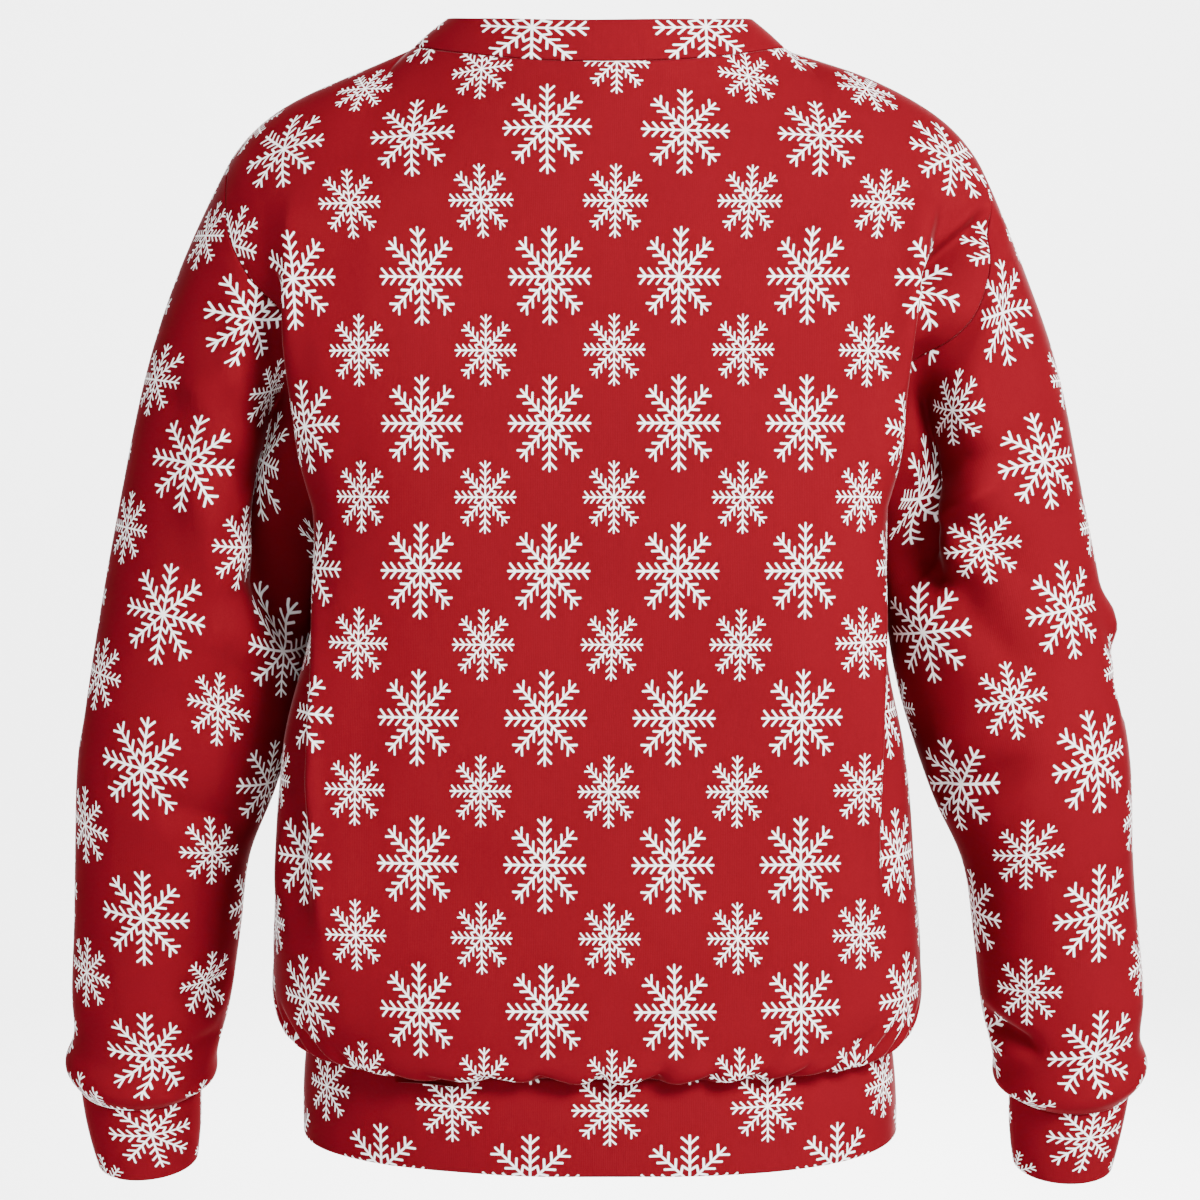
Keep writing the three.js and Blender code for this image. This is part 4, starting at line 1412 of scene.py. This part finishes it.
def node(tree, kind, **settings):
    made = tree.nodes.new(kind)
    for key, value in settings.items():
        setattr(made, key, value)
    return made


def feed(tree, socket, value):
    """Links a socket to another one, or sets its value."""
    if isinstance(value, bpy.types.NodeSocket):
        tree.links.new(value, socket)
    else:
        socket.default_value = value


def feed_inputs(tree, made, values):
    """Feeds a node's inputs by name."""
    for name, value in values.items():
        feed(tree, made.inputs[name], value)


def sums(tree, operation, *values, clamp=False):
    """A Math node's result."""
    made = node(tree, "ShaderNodeMath", operation=operation, use_clamp=clamp)
    for socket, value in zip(made.inputs, values):
        feed(tree, socket, value)
    return made.outputs[0]


def times(tree, first, second):
    return sums(tree, "MULTIPLY", first, second)


def vectors(tree, operation, *values):
    """A Vector Math node's result: a number for lengths and dot products."""
    made = node(tree, "ShaderNodeVectorMath", operation=operation)
    for socket, value in zip(made.inputs, values):
        feed(tree, socket, value)
    return made.outputs["Value" if operation in ("LENGTH", "DOT_PRODUCT") else "Vector"]


def scaled(tree, vector, share):
    """A vector or colour times a number."""
    made = node(tree, "ShaderNodeVectorMath", operation="SCALE")
    feed_inputs(tree, made, {"Vector": vector, "Scale": share})
    return made.outputs["Vector"]


def combine(tree, x, y):
    made = node(tree, "ShaderNodeCombineXYZ")
    feed_inputs(tree, made, {"X": x, "Y": y})
    return made.outputs["Vector"]


def separate(tree, vector):
    made = node(tree, "ShaderNodeSeparateXYZ")
    feed(tree, made.inputs["Vector"], vector)
    return made.outputs["X"], made.outputs["Y"]


def new_group(name, inputs, output):
    """A shader node group with its input and output nodes."""
    tree = bpy.data.node_groups.new(name, "ShaderNodeTree")
    for key, kind in inputs:
        tree.interface.new_socket(name=key, in_out="INPUT", socket_type=kind)
    tree.interface.new_socket(name=output, in_out="OUTPUT", socket_type="NodeSocketFloat")
    return tree, node(tree, "NodeGroupInput").outputs, node(tree, "NodeGroupOutput").inputs


def use_group(tree, group, *values):
    made = node(tree, "ShaderNodeGroup", node_tree=group)
    for socket, value in zip(made.inputs, values):
        feed(tree, socket, value)
    return made.outputs[0]


def stroke_group():
    """Distance from a point to a straight stroke, given by its start and its run."""
    vector = "NodeSocketVector"
    sockets = (("Point", vector), ("Start", vector), ("Run", vector))
    tree, given, result = new_group("distance to a stroke", sockets, "Distance")
    offset = vectors(tree, "SUBTRACT", given["Point"], given["Start"])
    along = vectors(tree, "DOT_PRODUCT", offset, given["Run"])
    run_square = vectors(tree, "DOT_PRODUCT", given["Run"], given["Run"])
    share = sums(tree, "DIVIDE", along, run_square, clamp=True)
    away = vectors(tree, "SUBTRACT", offset, scaled(tree, given["Run"], share))
    feed(tree, result["Distance"], vectors(tree, "LENGTH", away))
    return tree


def flake_group():
    """One snowflake round the origin, with arms of length 1: 1 on its strokes."""
    sockets = (("Point", "NodeSocketVector"),)
    tree, given, result = new_group("one snowflake", sockets, "Mask")
    stroke = stroke_group()
    x, y = separate(tree, vectors(tree, "ABSOLUTE", given["Point"]))
    larger = sums(tree, "MAXIMUM", x, y)
    smaller = sums(tree, "MINIMUM", x, y)
    half_root = math.sqrt(0.5)
    slanted_along = times(tree, sums(tree, "ADD", larger, smaller), half_root)
    slanted_aside = times(tree, sums(tree, "SUBTRACT", larger, smaller), half_root)
    along = sums(tree, "MAXIMUM", larger, slanted_along)
    aside = sums(tree, "MINIMUM", smaller, slanted_aside)
    folded = combine(tree, along, aside)
    arm = use_group(tree, stroke, folded, (0, 0, 0), (1, 0, 0))
    lean = BARB_RUN[0] / BARB_RUN[1]
    base = sums(tree, "SUBTRACT", along, times(tree, aside, lean))
    number = sums(tree, "DIVIDE", sums(tree, "SUBTRACT", base, BARB_FIRST), BARB_STEP)
    whole = sums(tree, "ROUND", number)
    inside = sums(tree, "MINIMUM", sums(tree, "MAXIMUM", whole, 0), BARB_COUNT - 1)
    start = sums(tree, "ADD", times(tree, inside, BARB_STEP), BARB_FIRST)
    barb = use_group(tree, stroke, folded, combine(tree, start, 0.0), (*BARB_RUN, 0))
    corner = math.pi / FLAKE_ARMS
    star_run = (STAR_OUTER * math.cos(corner) - STAR_INNER, STAR_OUTER * math.sin(corner), 0)
    star = use_group(tree, stroke, folded, (STAR_INNER, 0, 0), star_run)
    nearest = sums(tree, "MINIMUM", sums(tree, "MINIMUM", arm, barb), star)
    edge = node(tree, "ShaderNodeMapRange", interpolation_type="SMOOTHSTEP")
    limits = {
        "From Min": ARM_HALF_STROKE + STROKE_SOFTNESS,
        "From Max": ARM_HALF_STROKE - STROKE_SOFTNESS,
    }
    feed_inputs(tree, edge, {"Value": nearest, **limits})
    feed(tree, result["Mask"], edge.outputs["Result"])
    return tree


def repeat_group(settings):
    """The print: large snowflakes in rows and columns, and small ones between them."""
    sockets = (("Cloth", "NodeSocketVector"),)
    tree, given, result = new_group("snowflake repeat", sockets, "Mask")
    flake = flake_group()
    width, height = settings.repeat_width, settings.repeat_height
    arm = settings.arm_length
    cells = vectors(tree, "MULTIPLY", given["Cloth"], (1 / width, 1 / height, 0))
    masks = []
    for shift, size in ((0.5, 1), (0, settings.small_share)):
        shifted = vectors(tree, "ADD", cells, (shift, shift, 0))
        fraction = vectors(tree, "FRACTION", shifted)
        centred = vectors(tree, "SUBTRACT", fraction, (0.5, 0.5, 0))
        to_arms = (width / (arm * size), height / (arm * size * settings.arm_stretch), 0)
        masks.append(use_group(tree, flake, vectors(tree, "MULTIPLY", centred, to_arms)))
    feed(tree, result["Mask"], sums(tree, "MAXIMUM", *masks))
    return tree


def knit_group(settings):
    """Height of fine jersey stitches: columns of small leaning loops."""
    sockets = (("Cloth", "NodeSocketVector"),)
    tree, given, result = new_group("jersey stitches", sockets, "Height")
    x, y = separate(tree, given["Cloth"])
    wale = sums(tree, "FRACT", sums(tree, "DIVIDE", x, settings.wale))
    off_centre = sums(tree, "ABSOLUTE", sums(tree, "SUBTRACT", wale, 0.5))
    course = sums(tree, "DIVIDE", y, settings.course)
    leaning = sums(tree, "ADD", course, times(tree, off_centre, LOOP_LEAN))
    loop = sums(tree, "SINE", times(tree, leaning, 2 * math.pi))
    ridge = sums(tree, "COSINE", times(tree, off_centre, math.pi))
    shaded = sums(tree, "MULTIPLY_ADD", loop, LOOP_RELIEF, 1 - LOOP_RELIEF)
    feed(tree, result["Height"], times(tree, ridge, shaded))
    return tree


def cloth_noise(tree, settings):
    """A noise through the object's own space, by its scale and detail."""
    where = node(tree, "ShaderNodeTexCoord").outputs["Object"]
    noise = node(tree, "ShaderNodeTexNoise")
    feed_inputs(tree, noise, {"Vector": where, **settings})
    return noise.outputs["Fac"]


def bumped(tree, settings, values):
    """A Bump node's normal, by its strength and distance."""
    made = node(tree, "ShaderNodeBump")
    feed_inputs(tree, made, {**settings, **values})
    return made.outputs["Normal"]


def mixed_colour(tree, share, first, second):
    """One colour turned into another by a share."""
    made = node(tree, "ShaderNodeMix", data_type="RGBA")
    feed_inputs(tree, made, {"Factor": share, MIX_FIRST: first, MIX_SECOND: second})
    return made.outputs[MIX_RESULT]


def ranged(tree, value, low, high):
    """A share from 0 to 1 spread between two values."""
    return sums(tree, "MULTIPLY_ADD", value, high - low, low)


def new_material(name):
    """A material with its node tree and its surface shader."""
    material = bpy.data.materials.new(name)
    material.use_nodes = True
    tree = material.node_tree
    return material, tree, tree.nodes["Principled BSDF"]


def jersey_material(name, cloth, colour, print_settings, knit):
    """Fine jersey: dyed ground, printed flakes if print_settings is given, and stitches."""
    material, tree, shader = new_material(name)
    cut = node(tree, "ShaderNodeUVMap", uv_map="cut").outputs["UV"]
    speckle = cloth_noise(tree, SPECKLE)
    mottle = cloth_noise(tree, MOTTLE)
    shade = ranged(tree, mottle, *MOTTLE_SHADES)
    shade = times(tree, shade, ranged(tree, speckle, *SPECKLE_SHADES))
    surface = scaled(tree, tuple(colour), shade)
    roughness = ranged(tree, mottle, *CLOTH_ROUGHNESS)
    if print_settings is not None:
        mask = use_group(tree, repeat_group(print_settings), cut)
        ink_shade = ranged(tree, speckle, *INK_SHADES)
        ink = scaled(tree, tuple(print_settings.colour), ink_shade)
        surface = mixed_colour(tree, mask, surface, ink)
        roughness = sums(tree, "MULTIPLY_ADD", mask, INK_ROUGHNESS_CHANGE, roughness)
    facing = node(tree, "ShaderNodeLayerWeight").outputs["Facing"]
    grazing = sums(tree, "POWER", facing, SHEEN_POWER)
    stitches = bumped(tree, STITCH_BUMP, {"Height": use_group(tree, knit, cut)})
    crumple = {"Height": cloth_noise(tree, CRUMPLE), "Normal": stitches}
    feed(tree, shader.inputs["Base Color"], surface)
    feed(tree, shader.inputs["Roughness"], roughness)
    feed(tree, shader.inputs["Specular IOR Level"], 0)
    feed(tree, shader.inputs["Sheen Weight"], times(tree, grazing, cloth.sheen))
    feed(tree, shader.inputs["Sheen Roughness"], SHEEN_ROUGHNESS)
    feed(tree, shader.inputs["Sheen Tint"], SHEEN_TINT)
    feed(tree, shader.inputs["Normal"], bumped(tree, CRUMPLE_BUMP, crumple))
    return material


def jersey_materials(context):
    """The printed face and the plain reverse of the cloth, made once."""
    scene = context.scene
    if "printed jersey" not in bpy.data.materials:
        cloth = scene.sweatshirt_cloth
        knit = knit_group(cloth)
        jersey_material("printed jersey", cloth, cloth.colour, scene.sweatshirt_print, knit)
        jersey_material("jersey reverse", cloth, cloth.reverse_colour, None, knit)
    return bpy.data.materials["printed jersey"], bpy.data.materials["jersey reverse"]


# ----------------------------------------------------------------------- stage

# The floor turns up into a wall all round, so that no horizon shows.
SWEEP_FLAT_RADIUS = 3.6
SWEEP_BEND = 1.6
SWEEP_HEIGHT = 4.2
SWEEP_SEGMENTS = 96
SWEEP_BEND_STEPS = 16
SWEEP_INNER_RADIUS = 0.001
# Strength of the even light from all round.
AIR_STRENGTH = 0.08

# Each soft light stands at a turn round the garment, a distance out and a height above its
# middle. It faces the point at aim_distance along the same turn and at aim_height.
SOFTBOXES = named_rows(
    ("name", "turn", "distance", "height", "aim_distance", "aim_height", "size", "power"),
    (
        ("back_key", 211, 2.4, 1.4, 0, 0, 0.7, 243),
        ("front_key", 329, 2.4, 1.4, 0, 0, 0.7, 243),
        ("left_side", 80, 3.4, 1.0, 0, 0, 1.2, 8),
        ("right_side", 280, 3.4, 1.0, 0, 0, 1.2, 8),
        ("wall_wash", 0, 1.5, 1.9, 5.2, 0.1, 1.4, 620),
    ),
)


def sweep_object(settings):
    """A round floor whose rim curves up into a wall."""
    profile = [(SWEEP_INNER_RADIUS, 0), (SWEEP_FLAT_RADIUS, 0)]
    for step in range(1, SWEEP_BEND_STEPS + 1):
        turn = math.pi / 2 * step / SWEEP_BEND_STEPS
        radius = SWEEP_FLAT_RADIUS + SWEEP_BEND * math.sin(turn)
        profile.append((radius, SWEEP_BEND * (1 - math.cos(turn))))
    profile.append((SWEEP_FLAT_RADIUS + SWEEP_BEND, SWEEP_HEIGHT))
    turns = np.linspace(0, 2 * math.pi, SWEEP_SEGMENTS, endpoint=False)
    vertices = []
    for radius, height in profile:
        for turn in turns:
            across, back = radius * math.cos(turn), radius * math.sin(turn)
            vertices.append((across, back, height - settings.floor_drop))
    numbers = close_columns(np.arange(len(vertices)).reshape(len(profile), SWEEP_SEGMENTS))
    mesh = smooth_mesh("studio_sweep", vertices, quad_corners(numbers))
    return add_object("studio_sweep", mesh)


def pale_material(settings):
    material, tree, shader = new_material("pale floor")
    roughness = ranged(tree, cloth_noise(tree, FLOOR_MOTTLE), *FLOOR_ROUGHNESS)
    feed(tree, shader.inputs["Base Color"], (*settings.floor_colour, 1))
    feed(tree, shader.inputs["Roughness"], roughness)
    feed(tree, shader.inputs["Specular IOR Level"], FLOOR_SPECULAR)
    return material


def add_softbox(row, middle):
    """A square area light round the garment's middle."""
    lamp = bpy.data.lights.new(row["name"], "AREA")
    lamp.energy = row["power"]
    lamp.size = row["size"]
    light = add_object(row["name"], lamp)
    turn = math.radians(row["turn"])
    outward = Vector((math.sin(turn), -math.cos(turn), 0))
    upward = Vector((0, 0, 1))
    place = middle + outward * row["distance"] + upward * row["height"]
    aim = middle + outward * row["aim_distance"] + upward * row["aim_height"]
    light.location = place
    light.rotation_euler = (aim - place).to_track_quat("-Z", "Y").to_euler()


def add_camera(settings):
    """A camera straight behind the garment, looking a little down."""
    data = bpy.data.cameras.new("view_from_behind")
    data.lens = settings.lens
    camera = add_object("view_from_behind", data)
    distance = settings.camera_distance
    turn = settings.camera_turn
    outward = (-math.sin(turn) * distance, math.cos(turn) * distance)
    camera.location = (*outward, settings.camera_height)
    camera.rotation_euler = (math.pi / 2 - settings.camera_pitch, 0, math.pi + turn)
    bpy.context.scene.camera = camera


def add_world_light():
    world = bpy.data.worlds.new("studio air")
    world.use_nodes = True
    background = world.node_tree.nodes["Background"]
    background.inputs["Color"].default_value = (1, 1, 1, 1)
    background.inputs["Strength"].default_value = AIR_STRENGTH
    bpy.context.scene.world = world


# ------------------------------------------------------------------- operators


class SWEATSHIRT_OT_panels(bpy.types.Operator):
    """Make the back and the front"""

    bl_idname = "sweatshirt.panels"
    bl_label = "Back and Front"

    def execute(self, context):
        add_piece(context, "back")
        add_piece(context, "front")
        return {"FINISHED"}


class SWEATSHIRT_OT_sleeves(bpy.types.Operator):
    """Make the two set-in sleeves"""

    bl_idname = "sweatshirt.sleeves"
    bl_label = "Sleeves"

    def execute(self, context):
        add_piece(context, "left_sleeve")
        add_piece(context, "right_sleeve")
        return {"FINISHED"}


class SWEATSHIRT_OT_neck_band(bpy.types.Operator):
    """Make the folded band round the neck"""

    bl_idname = "sweatshirt.neck_band"
    bl_label = "Neck Band"

    def execute(self, context):
        add_piece(context, "neck_band")
        return {"FINISHED"}


class SWEATSHIRT_OT_hem_band(bpy.types.Operator):
    """Make the folded band round the hem"""

    bl_idname = "sweatshirt.hem_band"
    bl_label = "Hem Band"

    def execute(self, context):
        add_piece(context, "hem_band")
        return {"FINISHED"}


class SWEATSHIRT_OT_cuffs(bpy.types.Operator):
    """Make the two folded cuffs"""

    bl_idname = "sweatshirt.cuffs"
    bl_label = "Cuffs"

    def execute(self, context):
        add_piece(context, "left_cuff")
        add_piece(context, "right_cuff")
        return {"FINISHED"}


class SWEATSHIRT_OT_stage(bpy.types.Operator):
    """Set the floor, the soft lights and the camera"""

    bl_idname = "sweatshirt.stage"
    bl_label = "Stage"

    def execute(self, context):
        settings = context.scene.sweatshirt_stage
        sweep = sweep_object(settings)
        sweep.data.materials.append(pale_material(settings))
        low, high = cad_bounds
        for row in SOFTBOXES:
            add_softbox(row, (low + high) / 2)
        add_world_light()
        add_camera(settings)
        return {"FINISHED"}


class SWEATSHIRT_PT_panel(bpy.types.Panel):
    """Lists the garment's sizes, colours and pieces"""

    bl_idname = "SWEATSHIRT_PT_panel"
    bl_label = "Sweatshirt"
    bl_space_type = "VIEW_3D"
    bl_region_type = "UI"
    bl_category = "Sweatshirt"

    def draw(self, context):
        layout = self.layout
        for group in SETTINGS:
            settings = getattr(context.scene, group)
            box = layout.box()
            for key in settings.bl_rna.properties.keys():
                if key not in ("rna_type", "name"):
                    box.prop(settings, key)
        for operator in OPERATORS:
            layout.operator(operator.bl_idname)


SETTINGS = {
    "sweatshirt_cloth": SweatshirtCloth,
    "sweatshirt_print": SweatshirtPrint,
    "sweatshirt_folds": SweatshirtFolds,
    "sweatshirt_stage": SweatshirtStage,
}
OPERATORS = (
    SWEATSHIRT_OT_panels,
    SWEATSHIRT_OT_sleeves,
    SWEATSHIRT_OT_neck_band,
    SWEATSHIRT_OT_hem_band,
    SWEATSHIRT_OT_cuffs,
    SWEATSHIRT_OT_stage,
)


def register():
    for cls in (*SETTINGS.values(), *OPERATORS, SWEATSHIRT_PT_panel):
        bpy.utils.register_class(cls)
    for name, cls in SETTINGS.items():
        setattr(bpy.types.Scene, name, PointerProperty(type=cls))


def unregister():
    for name in SETTINGS:
        delattr(bpy.types.Scene, name)
    for cls in (SWEATSHIRT_PT_panel, *OPERATORS, *SETTINGS.values()):
        bpy.utils.unregister_class(cls)


def main():
    register()
    bpy.ops.sweatshirt.panels()
    bpy.ops.sweatshirt.sleeves()
    bpy.ops.sweatshirt.neck_band()
    bpy.ops.sweatshirt.hem_band()
    bpy.ops.sweatshirt.cuffs()
    bpy.ops.sweatshirt.stage()


if __name__ == "__main__":
    main()
